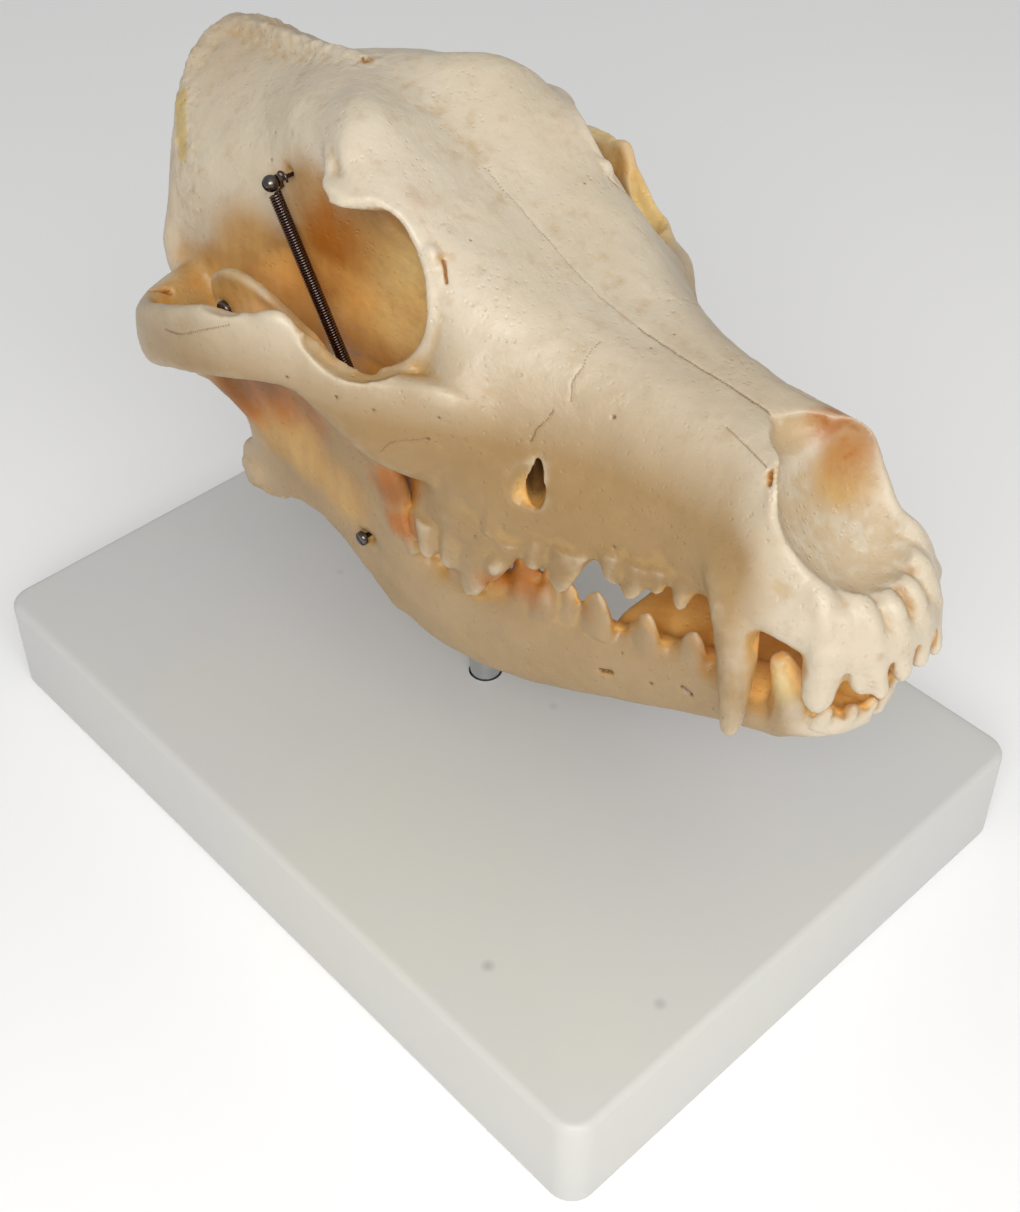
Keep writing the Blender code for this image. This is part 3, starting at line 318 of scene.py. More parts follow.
def make_base():
    base = added(bpy.ops.mesh.primitive_cube_add, size=1.0, location=(0.0, 0.0, BASE_HEIGHT * MM / 2))
    base.name = "base_block"
    base.dimensions = (BASE_FOOT[0] * MM, BASE_FOOT[1] * MM, BASE_HEIGHT * MM)
    bpy.ops.object.transform_apply(location=True, rotation=True, scale=True)
    top = BASE_HEIGHT * MM - 1e-5
    bpy.ops.object.mode_set(mode="EDIT")
    bpy.ops.mesh.select_mode(type="EDGE")
    pick_edges(base, lambda a, b: min(a.z, b.z) > top)
    bpy.ops.transform.resize(value=(BASE_TOP_SHARE, BASE_TOP_SHARE, 1.0))
    bevel_edges(base, lambda a, b: abs(a.z - b.z) > 0.01, BASE_CORNER, 12)
    bevel_edges(base, lambda a, b: min(a.z, b.z) > top, BASE_TOP_EDGE, 6)
    bevel_edges(base, lambda a, b: max(a.z, b.z) < 1e-5, BASE_FOOT_EDGE, 3)
    bpy.ops.object.mode_set(mode="OBJECT")
    drill = added(
        bpy.ops.mesh.primitive_cylinder_add,
        vertices=64,
        radius=ROD_HOLE[0] * MM,
        depth=ROD_HOLE[1] * MM,
        location=(0.0, 0.0, ROD_HOLE[2] * MM),
    )
    boolean(base, drill, "DIFFERENCE", "EXACT")
    alone(base)
    bpy.ops.object.shade_smooth_by_angle(angle=math.radians(35))
    dress(base, moulded_plastic())
    return base


base_block = make_base()
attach(base_block, "root")
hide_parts("stand_base")


# The rod: a 9 mm bar of bright steel that stands in the base and carries the skull from below.
# It is ground to a fine finish and has a small chamfer at each end. Its top end is inside the skull.
ROD_RADIUS = 4.5
ROD_FOOT = 20.0
ROD_TOP = 136.0
ROD_CHAMFER = 0.8


def polished_steel(name, colour, roughness, grain):
    """Steel with fine lines round its axis and a faint cloud on its gloss."""
    steel, tree, shader = new_material(name)
    shader.inputs["Metallic"].default_value = 1.0
    squash = tree.nodes.new("ShaderNodeMapping")
    squash.inputs["Scale"].default_value = (1.0, 1.0, grain)
    tree.links.new(tree.nodes.new("ShaderNodeTexCoord").outputs["Object"], squash.inputs["Vector"])
    lines = add_mask(tree, mottle, squash.outputs["Vector"], Scale=240.0, Contrast=1.4)
    shade = add_mix(tree, lines, tuple(c * 0.9 for c in colour), colour)
    tree.links.new(shade, shader.inputs["Base Color"])
    add_gloss(tree, lines, roughness * 0.8, roughness * 1.3)
    tree.links.new(add_bump(tree, lines, 0.15, 0.05).outputs["Normal"], shader.inputs["Normal"])
    return steel


def make_rod():
    rod = added(
        bpy.ops.mesh.primitive_cylinder_add,
        vertices=64,
        radius=ROD_RADIUS * MM,
        depth=(ROD_TOP - ROD_FOOT) * MM,
        location=(0.0, 0.0, (ROD_TOP + ROD_FOOT) * MM / 2),
    )
    rod.name = "steel_rod"
    bpy.ops.object.transform_apply(location=True, rotation=True, scale=True)
    bpy.ops.object.mode_set(mode="EDIT")
    bpy.ops.mesh.select_mode(type="EDGE")
    bevel_edges(rod, lambda a, b: abs(a.z - b.z) < 1e-6, ROD_CHAMFER, 3)
    bpy.ops.object.mode_set(mode="OBJECT")
    bpy.ops.object.shade_smooth_by_angle(angle=math.radians(30))
    dress(rod, polished_steel("rod_steel_bright", (0.58, 0.60, 0.62), 0.15, 6.0))
    return rod


steel_rod = make_rod()
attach(steel_rod, "root")
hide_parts("stand_rod")


# The skull: one casting of bone-coloured resin, life size, with its upper teeth cast in one piece with it.
# The mould was taken from a real skull, so every suture, foramen, tooth root and pit stands in the resin.
# Places in this section are x, y, z in mm, on the animal's right, and are mirrored to its left.
SKULL_GRID = 0.62
SKULL_TRIANGLES = 194000
FIRST_SKIN = 0.8
CUTTER_SKIN = 0.4
BAR_STEPS = 5
# Paths along the orbit, the arch, the nose and the canine: x, y, z and, for a bar, its radius.
ORBIT_RIM = (
    (-6.4, -33.6, 191.6, 0.9),
    (-3.6, -31.8, 192.4, 1.1),
    (0.2, -28.8, 193.0, 1.2),
    (6.0, -26.7, 190.8, 1.2),
    (11.0, -26.6, 186.0, 1.2),
    (15.8, -28.1, 179.8, 1.3),
    (18.4, -30.1, 174.0, 1.4),
    (18.4, -32.8, 167.4, 1.6),
    (16.2, -36.2, 162.6, 1.8),
    (12.6, -40.8, 160.8, 1.8),
)
# The blunt process over the back of the orbit, and the knob, the hollows and the edge of the arch below it.
PROCESS_EDGE = (
    (-21.0, -23.5, 196.4, 1.6),
    (-15.9, -27.6, 194.6, 1.5),
    (-12.0, -30.6, 192.7, 1.4),
    (-7.9, -33.6, 191.0, 1.1),
)
ARCH_KNOB = (
    (-12.0, -54.8, 169.8, 1.4),
    (-8.0, -53.8, 171.6, 1.9),
    (-4.6, -52.6, 172.4, 2.0),
    (-1.6, -51.0, 170.2, 1.7),
)
ARCH_SADDLE = (
    (-34.0, -60.8, 175.4, 4.0),
    (-27.0, -59.4, 173.0, 4.0),
    (-20.0, -57.4, 172.6, 4.0),
    (-15.0, -55.8, 174.2, 4.0),
)
ARCH_DIP = (
    (3.6, -49.6, 173.4, 6.0),
    (7.7, -47.8, 169.4, 6.0),
    (10.9, -45.6, 168.1, 6.0),
    (13.6, -42.0, 167.9, 6.0),
    (15.6, -38.6, 169.4, 6.0),
)
ARCH_EDGE = (
    (-1.6, -51.0, 170.2),
    (3.6, -49.0, 168.0),
    (7.7, -47.8, 164.0),
    (10.9, -45.6, 162.5),
    (13.6, -42.0, 162.0),
    (15.6, -38.6, 163.6),
    (18.0, -34.0, 166.0),
)
# The soft lip and the thin rim of the nose opening, and the canine.
NOSE_LIP = (
    (92.0, -6.0, 166.8, 2.4),
    (96.6, -10.6, 164.6, 3.4),
    (98.6, -12.8, 160.2, 4.0),
    (101.6, -13.4, 155.6, 4.2),
    (105.6, -12.8, 150.8, 4.0),
    (110.0, -11.2, 147.0, 3.4),
)
NOSE_RIM = (
    (86.5, -1.6, 169.2, 0.8),
    (92.5, -7.6, 169.2, 1.0),
    (97.6, -11.2, 168.6, 1.2),
    (99.5, -14.6, 165.2, 1.3),
    (100.8, -15.9, 161.2, 1.3),
    (104.4, -15.9, 155.2, 1.3),
    (109.0, -14.8, 151.4, 1.3),
    (113.0, -13.4, 149.6, 1.3),
)
CANINE = (
    (84.0, -15.5, 152.0, 2.6),
    (90.0, -17.2, 147.0, 4.2),
    (95.5, -18.8, 141.0, 5.2),
    (99.0, -20.4, 134.0, 4.9),
    (101.4, -22.0, 126.0, 4.1),
    (102.8, -23.3, 118.0, 3.3),
    (103.3, -24.1, 111.5, 2.5),
    (103.3, -24.4, 108.6, 1.7),
)
# Each tooth cusp: root, tip, half length along the jaw, half width across it, and roundness of the tip.
UPPER_CUSPS = (
    ((125.4, -3.2, 141.0), (128.6, -3.0, 128.0), 2.8, 2.9, 0.64),
    ((122.8, -9.2, 141.0), (128.0, -9.0, 126.6), 3.3, 3.1, 0.60),
    ((120.6, -11.8, 141.0), (124.8, -11.0, 127.2), 3.3, 3.2, 0.64),
    ((117.0, -14.8, 141.0), (117.9, -16.2, 120.6), 5.0, 4.5, 0.58),
    ((84.4, -19.8, 138.0), (84.0, -21.0, 128.2), 3.8, 2.4, 0.24),
    ((78.2, -21.4, 138.0), (78.0, -22.0, 129.4), 4.0, 2.3, 0.30),
    ((72.8, -22.4, 137.0), (72.2, -24.0, 124.8), 6.2, 2.7, 0.14),
    ((67.0, -24.2, 137.0), (68.4, -24.9, 127.6), 4.4, 2.4, 0.30),
    ((56.4, -27.4, 134.0), (56.4, -29.2, 119.2), 7.6, 3.2, 0.14),
    ((49.6, -29.8, 134.0), (49.8, -30.8, 123.4), 4.6, 3.0, 0.45),
    ((36.6, -32.8, 130.0), (33.0, -35.4, 105.8), 7.8, 4.2, 0.14),
    ((42.5, -31.8, 131.0), (38.6, -34.0, 114.2), 7.0, 3.8, 0.28),
    ((28.8, -34.0, 126.0), (28.0, -36.0, 112.4), 4.6, 3.8, 0.44),
    ((21.6, -35.0, 124.0), (22.0, -37.2, 112.4), 4.4, 4.0, 0.44),
    ((15.4, -34.0, 124.0), (15.8, -36.0, 112.2), 3.8, 3.6, 0.44),
    ((18.6, -27.0, 124.0), (18.6, -25.2, 116.6), 5.6, 5.4, 0.50),
    ((10.8, -29.6, 125.0), (10.8, -30.2, 116.6), 3.6, 3.4, 0.44),
    ((9.8, -25.4, 125.0), (9.8, -24.4, 118.6), 3.2, 3.4, 0.50),
)
# Fillings of the solids' hollows that the photo shows shallower, on both sides: place and radii.
SIDE_FILLS = (
    ((48.5, -26.4, 147.0), (6.0, 3.6, 7.0)),
    ((-8.5, -28.5, 192.8), (7.0, 5.5, 1.9)),
    ((-24.0, -14.8, 129.5), (13.0, 3.6, 8.0)),
    ((13.4, -25.9, 183.6), (2.6, 1.8, 3.6)),
)
# Fillings on the midline, before and below the nose opening.
MIDDLE_FILLS = (
    ((108.0, 0.0, 139.0), (17.0, 13.0, 9.0)),
    ((100.0, 0.0, 148.0), (14.0, 15.5, 9.0)),
    ((87.0, 0.0, 155.5), (12.0, 12.5, 12.2)),
    ((92.5, 0.0, 158.5), (10.0, 13.0, 9.0)),
)
# The nerve hole under the orbit, and a narrower groove that leads up from it: place, radii and turn.
NERVE_HOLE = (
    ((46.5, -26.5, 145.4), (9.0, 2.2, 5.0), (0.0, 0.0, -42.0)),
    ((48.0, -27.5, 149.6), (7.0, 1.1, 4.0), (0.0, 0.0, -42.0)),
)
# The gaps between the incisors, and the one on the midline.
CENTRE_GAP = ((127.4, 0.0, 132.8), (6.0, 0.7, 4.0))
TOOTH_GAPS = (
    ((121.9, -13.3, 132.4), (4.0, 0.6, 2.4), (0.0, 0.0, -47.0)),
    ((126.4, -6.1, 132.4), (6.0, 0.8, 4.0), (0.0, 0.0, -23.0)),
)
# The smooth bowl of the nose opening, down to its pale floor, and its notch under the nasal bones.
NOSE_BOWL = ((107.5, 0.0, 160.5), (18.5, 16.8, 10.0), (0.0, 47.0, 0.0))
NOSE_NOTCH = ((98.0, 0.0, 169.0), (10.5, 8.8, 6.0), (0.0, 0.0, 0.0))
# Swellings over the roots of the teeth: the path of each, with its radius.
UPPER_ROOTS = (
    ((39.6, -31.6, 150.0, 2.4), (40.6, -32.8, 141.0, 3.0), (40.4, -33.4, 131.0, 3.4)),
    ((31.0, -34.8, 141.0, 2.2), (30.6, -34.8, 134.0, 2.8), (30.2, -34.6, 126.0, 3.2)),
    ((117.0, -2.6, 145.6, 1.8), (122.4, -3.0, 145.0, 2.6), (126.2, -3.2, 138.0, 2.8)),
    ((112.5, -8.4, 146.6, 2.2), (119.4, -9.0, 146.0, 3.0), (124.4, -8.9, 138.0, 3.2)),
    ((108.0, -13.6, 150.0, 2.2), (113.6, -14.2, 147.4, 3.4), (117.2, -14.8, 140.0, 4.2)),
    ((70.0, -19.6, 148.0, 1.6), (71.6, -21.2, 140.0, 2.2), (72.4, -22.2, 134.0, 2.6)),
    ((58.4, -23.4, 146.0, 1.8), (57.0, -25.8, 138.0, 2.6), (56.4, -27.2, 131.0, 3.0)),
)
# Sutures and cracks on the skull: path, half width, depth and how far the line wanders, in mm, and
# whether it is on both sides.
MIDLINE = (
    (2.0, 0.0, 189.5),
    (12.1, 0.0, 185.8),
    (31.5, -0.6, 177.8),
    (50.2, -0.8, 173.1),
    (72.3, -0.2, 171.2),
    (86.0, 0.0, 169.6),
)
SKULL_LINES = (
    (MIDLINE[:4], 0.26, 0.20, 0.25, False),
    (MIDLINE[3:], 0.30, 0.50, 0.15, False),
    (
        ((48.3, -10.5, 173.8), (49.6, -17.5, 170.6), (49.9, -20.0, 168.0), (51.1, -21.7, 165.2)),
        0.24, 0.25, 0.5, True,
    ),
    (((48.4, -24.4, 162.8), (47.0, -27.4, 158.7), (46.5, -28.8, 156.3)), 0.26, 0.35, 0.6, True),
    (
        ((18.4, -46.3, 147.2), (20.5, -45.1, 149.4), (23.9, -42.9, 151.3), (27.2, -40.6, 152.1)),
        0.24, 0.25, 0.7, True,
    ),
    (((82.5, -9.5, 170.0), (89.2, -10.8, 169.3), (95.5, -12.4, 168.8)), 0.25, 0.40, 0.1, True),
    (
        ((-36.0, -61.6, 158.6), (-29.9, -62.3, 160.5), (-22.0, -61.4, 165.0), (-14.4, -58.8, 169.0)),
        0.26, 0.5, 0.0, True,
    ),
)
# Slots painted orange brown: wash left in them, and painted shade in their depth.
SKULL_SLOTS = (
    (((-60.7, -50.2, 152.2), (-59.1, -45.6, 150.1)), 0.80, 1.5, 0.0, True),
    (((-38.8, 0.3, 201.4), (-36.0, -0.6, 201.4)), 0.50, 1.0, 0.0, False),
    (((16.4, -24.7, 184.2), (17.9, -25.8, 182.7), (19.4, -26.9, 181.0)), 0.42, 1.1, 0.0, True),
    (((96.4, -12.5, 168.4), (97.2, -13.3, 167.6), (97.7, -13.8, 166.8)), 0.55, 1.5, 0.0, True),
)
# Small holes for nerves and vessels: place, radius and depth in mm.
SKULL_PITS = (
    ((-42.8, -21.0, 188.6), 0.4, 0.4),
    ((-42.1, -24.2, 183.6), 0.45, 0.4),
    ((-2.0, -54.3, 159.7), 0.45, 0.5),
    ((9.8, -50.5, 158.8), 0.5, 0.6),
    ((17.5, -46.8, 157.5), 0.4, 0.5),
    ((16.2, -16.9, 185.9), 0.35, 0.4),
    ((56.2, 3.5, 172.5), 0.35, 0.35),
    ((60.4, -18.6, 164.9), 0.5, 0.6),
    ((29.5, -38.5, 158.4), 0.4, 0.5),
    ((27.6, -40.4, 152.3), 0.5, 0.6),
    ((68.4, -24.9, 138.5), 0.45, 0.5),
    ((37.7, -36.6, 129.0), 0.4, 0.4),
)
# Broad, soft changes of form: place, direction, radius and height in mm. A minus height is a hollow.
SKULL_SWELLS = (
    ((29.0, -34.0, 164.0), (0.35, -0.75, 0.55), 9.0, 2.6),
    ((34.4, -35.2, 136.0), (0.25, -0.97, 0.0), 4.0, -0.9),
    ((27.0, -38.0, 140.0), (0.45, -0.80, -0.3), 4.0, -0.8),
    ((60.0, -22.0, 158.0), (0.3, -0.9, 0.4), 12.0, -0.6),
    ((108.0, -19.0, 148.0), (0.3, -0.95, 0.0), 5.0, -1.2),
    ((-45.0, -15.5, 193.0), (-0.3, -0.62, 0.72), 15.0, 2.0),
    ((-35.0, -19.0, 194.5), (-0.35, -0.65, 0.65), 10.0, 1.1),
)
# The rough edge of the crest, from the top of the skull down to the ear.
CREST_EDGE = (
    (-38.0, 0.0, 201.5),
    (-64.0, 0.0, 198.0),
    (-90.3, 0.0, 194.8),
    (-88.0, -11.0, 190.6),
    (-82.4, -21.6, 183.5),
    (-73.0, -29.1, 175.2),
    (-66.0, -36.0, 164.0),
)
# Where the surface is eased: path, reach in mm and how often.
SKULL_EASED = (
    (NOSE_LIP, 9.0, 10),
    (ORBIT_RIM[6:], 5.0, 6),
    (ARCH_KNOB, 6.0, 16),
    (ARCH_EDGE, 6.0, 18),
    (CREST_EDGE, 9.0, 14),
)
# The old chip in the rear crest, where yellow resin shows.
CREST_CHIP = (
    (-82.4, -21.6, 183.5),
    (-77.3, -25.6, 179.3),
    (-73.0, -29.1, 175.2),
)


def merged_copy(node, name):
    """A copy of a CAD node with its loose triangles joined up."""
    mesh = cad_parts[node].data.copy()
    mesh.name = name
    mesh.materials.clear()
    item = new_object(name, mesh)
    shape = bmesh.new()
    shape.from_mesh(mesh)
    bmesh.ops.remove_doubles(shape, verts=shape.verts, dist=1e-6)
    shape.to_mesh(mesh)
    shape.free()
    if mesh.has_custom_normals:
        alone(item)
        bpy.ops.mesh.customdata_custom_splitnormals_clear()
    return item


def smooth_path(path, steps):
    """Points on the smooth curve through the given ones."""
    rows = [np.array(row, float) for row in path]
    rows = [2 * rows[0] - rows[1]] + rows + [2 * rows[-1] - rows[-2]]
    points = []
    for i in range(1, len(rows) - 2):
        a, b, c, d = rows[i - 1 : i + 3]
        for step in range(steps):
            t = step / steps
            place = 2 * b + (c - a) * t
            place += (2 * a - 5 * b + 4 * c - d) * t**2
            place += (3 * b - a - 3 * c + d) * t**3
            points.append(0.5 * place)
    points.append(rows[-2])
    return points


def modelled_bar(path):
    """A smooth round bar along points x, y, z, radius, closed at both ends."""
    bar = added(bpy.ops.curve.primitive_nurbs_path_add)
    curve = bar.data
    curve.splines.clear()
    line = curve.splines.new("POLY")
    points = smooth_path(path, BAR_STEPS)
    line.points.add(len(points) - 1)
    for slot, (x, y, z, radius) in zip(line.points, points):
        slot.co = (x * MM, y * MM, z * MM, 1.0)
        slot.radius = radius
    curve.bevel_depth = MM
    curve.bevel_resolution = 4
    curve.use_fill_caps = True
    bpy.ops.object.convert(target="MESH")
    return bpy.context.active_object


def modelled_lump(centre, radii, turn=(0.0, 0.0, 0.0)):
    """An egg-shaped lump at a place, with three radii and a turn in degrees."""
    place = [c * MM for c in centre]
    lump = added(bpy.ops.mesh.primitive_ico_sphere_add, subdivisions=4, radius=MM, location=place)
    lump.scale = radii
    lump.rotation_euler = [math.radians(a) for a in turn]
    return settle(lump)


def modelled_cusp(root, tip, half_length, half_width, roundness):
    """One cusp of a tooth: a cone from its root to its rounded tip, longer along the jaw than across."""
    root = Vector(root) * MM
    tip = Vector(tip) * MM
    cusp = added(
        bpy.ops.mesh.primitive_uv_sphere_add,
        segments=20,
        ring_count=14,
        radius=1.0,
        location=(0.0, 0.0, 0.0),
    )
    for vertex in cusp.data.vertices:
        share = (vertex.co.z + 1.0) / 2.0
        across = Vector((vertex.co.x, vertex.co.y, 0.0))
        girth = across.length
        taper = roundness + (1.0 - roundness) * (1.0 - share) ** 0.8
        wanted = taper * min(1.0, girth * 1.25) if share > 0.5 else taper
        if girth > 1e-6:
            across = across / girth * min(wanted, 1.0) * (girth > 0.01)
        middle = root.lerp(tip, share)
        vertex.co = (
            middle.x + across.x * half_length * MM,
            middle.y + across.y * half_width * MM,
            middle.z,
        )
    return cusp


def mirrored_copy(item):
    """The same form on the animal's left."""
    twin = item.copy()
    twin.data = item.data.copy()
    bpy.context.scene.collection.objects.link(twin)
    twin.data.transform(Matrix.Diagonal((1.0, -1.0, 1.0, 1.0)))
    twin.data.flip_normals()
    return twin


def both_sides(items):
    """The forms made on the right, and their mirror images."""
    return items + [mirrored_copy(item) for item in items]


def joined(main, items):
    alone(main)
    for item in items:
        item.select_set(True)
    bpy.ops.object.join()


def cut_away(item, cutters):
    """Takes the cutters' room out of the piece."""
    joined(cutters[0], cutters[1:])
    fine_skin(cutters[0], CUTTER_SKIN, rounds=1)
    boolean(item, cutters[0], "DIFFERENCE")


def near_path(points, path, reach):
    """How near each point is to a path or its mirror image, from 0 at the reach to 1 on the path."""
    places = [Vector(row[:3]) for row in smooth_path(path, 16)]
    places += [Vector(flipped(p)) for p in places]
    return 1.0 - distances(points, places, reach) / reach


def eased_near(item, path, reach, rounds):
    """Eases the surface near a path, less and less towards the reach."""
    share = near_path(surface_arrays(item)[0], path, reach)
    group = item.vertex_groups.new(name="near")
    for i in np.nonzero(share > 0.02)[0]:
        group.add([int(i)], float(min(1.0, share[i] * 2.0)), "REPLACE")
    ease = item.modifiers.new("ease", "SMOOTH")
    ease.factor = 0.5
    ease.iterations = rounds
    ease.vertex_group = group.name
    apply_all(item)
    item.vertex_groups.clear()


def fine_skin(item, grid, rounds):
    """Covers the form with an even skin of small faces, and eases it."""
    skin = item.modifiers.new("skin", "REMESH")
    skin.mode = "VOXEL"
    skin.voxel_size = grid * MM
    even = item.modifiers.new("even", "SMOOTH")
    even.factor = 0.5
    even.iterations = rounds
    apply_all(item)


def rounded(item):
    soft = item.modifiers.new("soft", "SUBSURF")
    soft.levels = 2
    soft.render_levels = 2
    apply_all(item)


def thinned(item, triangles):
    """Takes faces out where the form is plain, until it has about this many triangles."""
    item.data.calc_loop_triangles()
    count = len(item.data.loop_triangles)
    if count > triangles:
        fewer = item.modifiers.new("fewer", "DECIMATE")
        fewer.ratio = triangles / count
        apply_all(item)
    bpy.ops.object.shade_smooth()


def surface_arrays(item):
    """A mesh's points and outward directions, in mm."""
    mesh = item.data
    points = np.empty(len(mesh.vertices) * 3, np.float32)
    mesh.vertices.foreach_get("co", points)
    outward = np.empty(len(mesh.vertices) * 3, np.float32)
    mesh.vertex_normals.foreach_get("vector", outward)
    return points.reshape(-1, 3) / MM, outward.reshape(-1, 3)


def put_points(item, points):
    item.data.vertices.foreach_set("co", (points * MM).astype(np.float32).ravel())
    item.data.update()


def flipped(place):
    return (place[0], -place[1], *place[2:])


def surface_tree(items):
    """The faces of some pieces, where the nearest one or the one that a ray meets can be looked up."""
    shape = bmesh.new()
    for item in items:
        shape.from_mesh(item.data)
    tree = BVHTree.FromBMesh(shape)
    shape.free()
    return tree


def traced(tree, path, wander, seed):
    """Points every half millimetre along a path laid on a surface, which wanders as a suture does."""
    found = []
    rows = smooth_path(path, 12)
    for first, second in zip(rows, rows[1:]):
        steps = max(1, int(np.linalg.norm(second - first) / 0.5))
        for step in range(steps):
            place = Vector(first + (second - first) * step / steps)
            place += noise.noise_vector(place * 0.35 + Vector((seed, 0.0, 0.0))) * wander
            place += noise.noise_vector(place * 1.1 + Vector((0.0, seed, 0.0))) * wander * 0.5
            found.append(tree.find_nearest(place * MM)[0] / MM)
    return found


def distances(points, places, reach):
    """How far each point is from the nearest of some places, in mm, or reach where it is farther."""
    far = np.full(len(points), reach, np.float32)
    spots = np.array(places, np.float32)
    inside = np.all(points > spots.min(0) - reach, axis=1) & np.all(points < spots.max(0) + reach, axis=1)
    tree = KDTree(len(places))
    for i, place in enumerate(places):
        tree.insert(place, i)
    tree.balance()
    for i in np.nonzero(inside)[0]:
        far[i] = min(reach, tree.find(points[i])[2])
    return far


def engraved(lines, pits, item):
    """Each line and pit as its points on the piece, those below them, its half width and its depth."""
    tree = surface_tree([item])
    marks = []
    for number, (path, width, depth, wander, both) in enumerate(lines):
        marks.append((traced(tree, path, wander, 7.0 * number), width, depth))
        if both:
            twin = [flipped(p) for p in path]
            marks.append((traced(tree, twin, wander, 7.0 * number + 3.0), width, depth))
    for place, radius, depth in pits:
        for spot in (place, flipped(place)):
            marks.append(([tree.find_nearest(Vector(spot) * MM)[0] / MM], radius, depth))
    finished = []
    for places, width, depth in marks:
        below = []
        for place in places:
            inward = -tree.find_nearest(place * MM)[1]
            below.extend(place + inward * depth * share for share in (0.35, 0.7, 1.0))
        finished.append((places, below, width, depth))
    return finished


def refine_near(item, marks):
    """Makes the faces round the engraved lines smaller, so that the lines come out clean."""
    points = surface_arrays(item)[0]
    near = np.zeros(len(points), bool)
    for places, _, width, _ in marks:
        near |= distances(points, places, width + 1.1) < width + 0.5
    shape = bmesh.new()
    shape.from_mesh(item.data)
    shape.verts.ensure_lookup_table()
    edges = [e for e in shape.edges if near[e.verts[0].index] and near[e.verts[1].index]]
    bmesh.ops.subdivide_edges(shape, edges=edges, cuts=2, use_grid_fill=True)
    bmesh.ops.triangulate(shape, faces=[f for f in shape.faces if len(f.verts) > 4])
    shape.to_mesh(item.data)
    shape.free()


def engrave(item, marks):
    points, outward = surface_arrays(item)
    deep = np.zeros(len(points), np.float32)
    for places, _, width, depth in marks:
        share = 1.0 - distances(points, places, width * 1.6) / (width * 1.6)
        deep = np.maximum(deep, depth * share**1.5)
    put_points(item, points - outward * deep[:, None])


def swell(item, forms):
    points, outward = surface_arrays(item)
    for place, direction, radius, height in forms:
        for centre, way in ((place, direction), (flipped(place), flipped(direction))):
            way = np.array(way) / np.linalg.norm(way)
            share = np.exp(-np.sum((points - np.array(centre)) ** 2, axis=1) / (2 * (radius * 0.6) ** 2))
            facing = np.clip(outward @ way, 0.0, 1.0)
            points += (share * facing * height)[:, None] * way
    put_points(item, points)


def roughen(item, path, reach, height, grain):
    """Gives the bone a rough, knobbly surface along a path."""
    points, outward = surface_arrays(item)
    share = near_path(points, path, reach)
    lift = np.zeros(len(points), np.float32)
    for i in np.nonzero(share > 0.0)[0]:
        place = Vector(points[i])
        lift[i] = noise.fractal(place / grain, 0.6, 2.2, 4) * share[i] ** 0.7
    put_points(item, points + outward * (lift * height)[:, None])


def uneven(item, name, height, grain):
    """The faint unevenness of real bone all over."""
    cloud = bpy.data.textures.new(name, "CLOUDS")
    cloud.noise_scale = grain * MM
    cloud.noise_depth = 2
    waves = item.modifiers.new(name, "DISPLACE")
    waves.texture = cloud
    waves.texture_coords = "LOCAL"
    waves.strength = height * MM
    waves.mid_level = 0.5
    apply_all(item)


def model_skull():
    skull = merged_copy("cranium", "skull_cast")
    rounded(skull)
    fine_skin(skull, FIRST_SKIN, rounds=6)
    bars = (ORBIT_RIM, PROCESS_EDGE, ARCH_KNOB, NOSE_LIP, NOSE_RIM, CANINE, *UPPER_ROOTS)
    right = [modelled_bar(path) for path in bars]
    right.extend(modelled_lump(*filling) for filling in SIDE_FILLS)
    right.extend(modelled_cusp(*cusp) for cusp in UPPER_CUSPS)
    middle = [modelled_lump(*filling) for filling in MIDDLE_FILLS]
    joined(skull, both_sides(right) + middle)
    fine_skin(skull, SKULL_GRID, rounds=2)
    swell(skull, SKULL_SWELLS)
    dips = [modelled_bar(ARCH_DIP), modelled_bar(ARCH_SADDLE)]
    cut_away(skull, both_sides(dips) + [modelled_lump(*NOSE_BOWL), modelled_lump(*NOSE_NOTCH)])
    for eased in SKULL_EASED:
        eased_near(skull, *eased)
    holes = [modelled_lump(*hole) for hole in (*NERVE_HOLE, *TOOTH_GAPS)]
    middle = [modelled_lump(*CENTRE_GAP)]
    cut_away(skull, both_sides(holes) + middle)
    fine_skin(skull, SKULL_GRID, rounds=2)
    roughen(skull, CREST_EDGE, reach=8.0, height=0.45, grain=3.0)
    uneven(skull, "bone waves", height=0.7, grain=9.0)
    uneven(skull, "bone grain", height=0.16, grain=1.6)
    return skull


skull = model_skull()
skull_marks = engraved(SKULL_LINES, SKULL_PITS, skull)
skull_slots = engraved(SKULL_SLOTS, (), skull)
refine_near(skull, skull_marks + skull_slots)
engrave(skull, skull_marks + skull_slots)
thinned(skull, SKULL_TRIANGLES)
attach(skull, "root")
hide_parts("cranium")


# The jaw: the second casting, of the same resin, with the lower teeth cast in one piece with it.
# Its condyles sit in the skull's joint hollows, and the springs pull it up.
JAW_GRID = 0.58
JAW_TRIANGLES = 150000
LOWER_CANINE = (
    (98.0, -9.5, 100.0, 3.0),
    (104.0, -10.0, 104.0, 4.6),
    (108.5, -11.8, 110.0, 5.0),
    (110.2, -13.6, 117.0, 4.4),
    (109.4, -15.2, 123.5, 3.4),
    (107.6, -16.2, 128.8, 2.0),
)
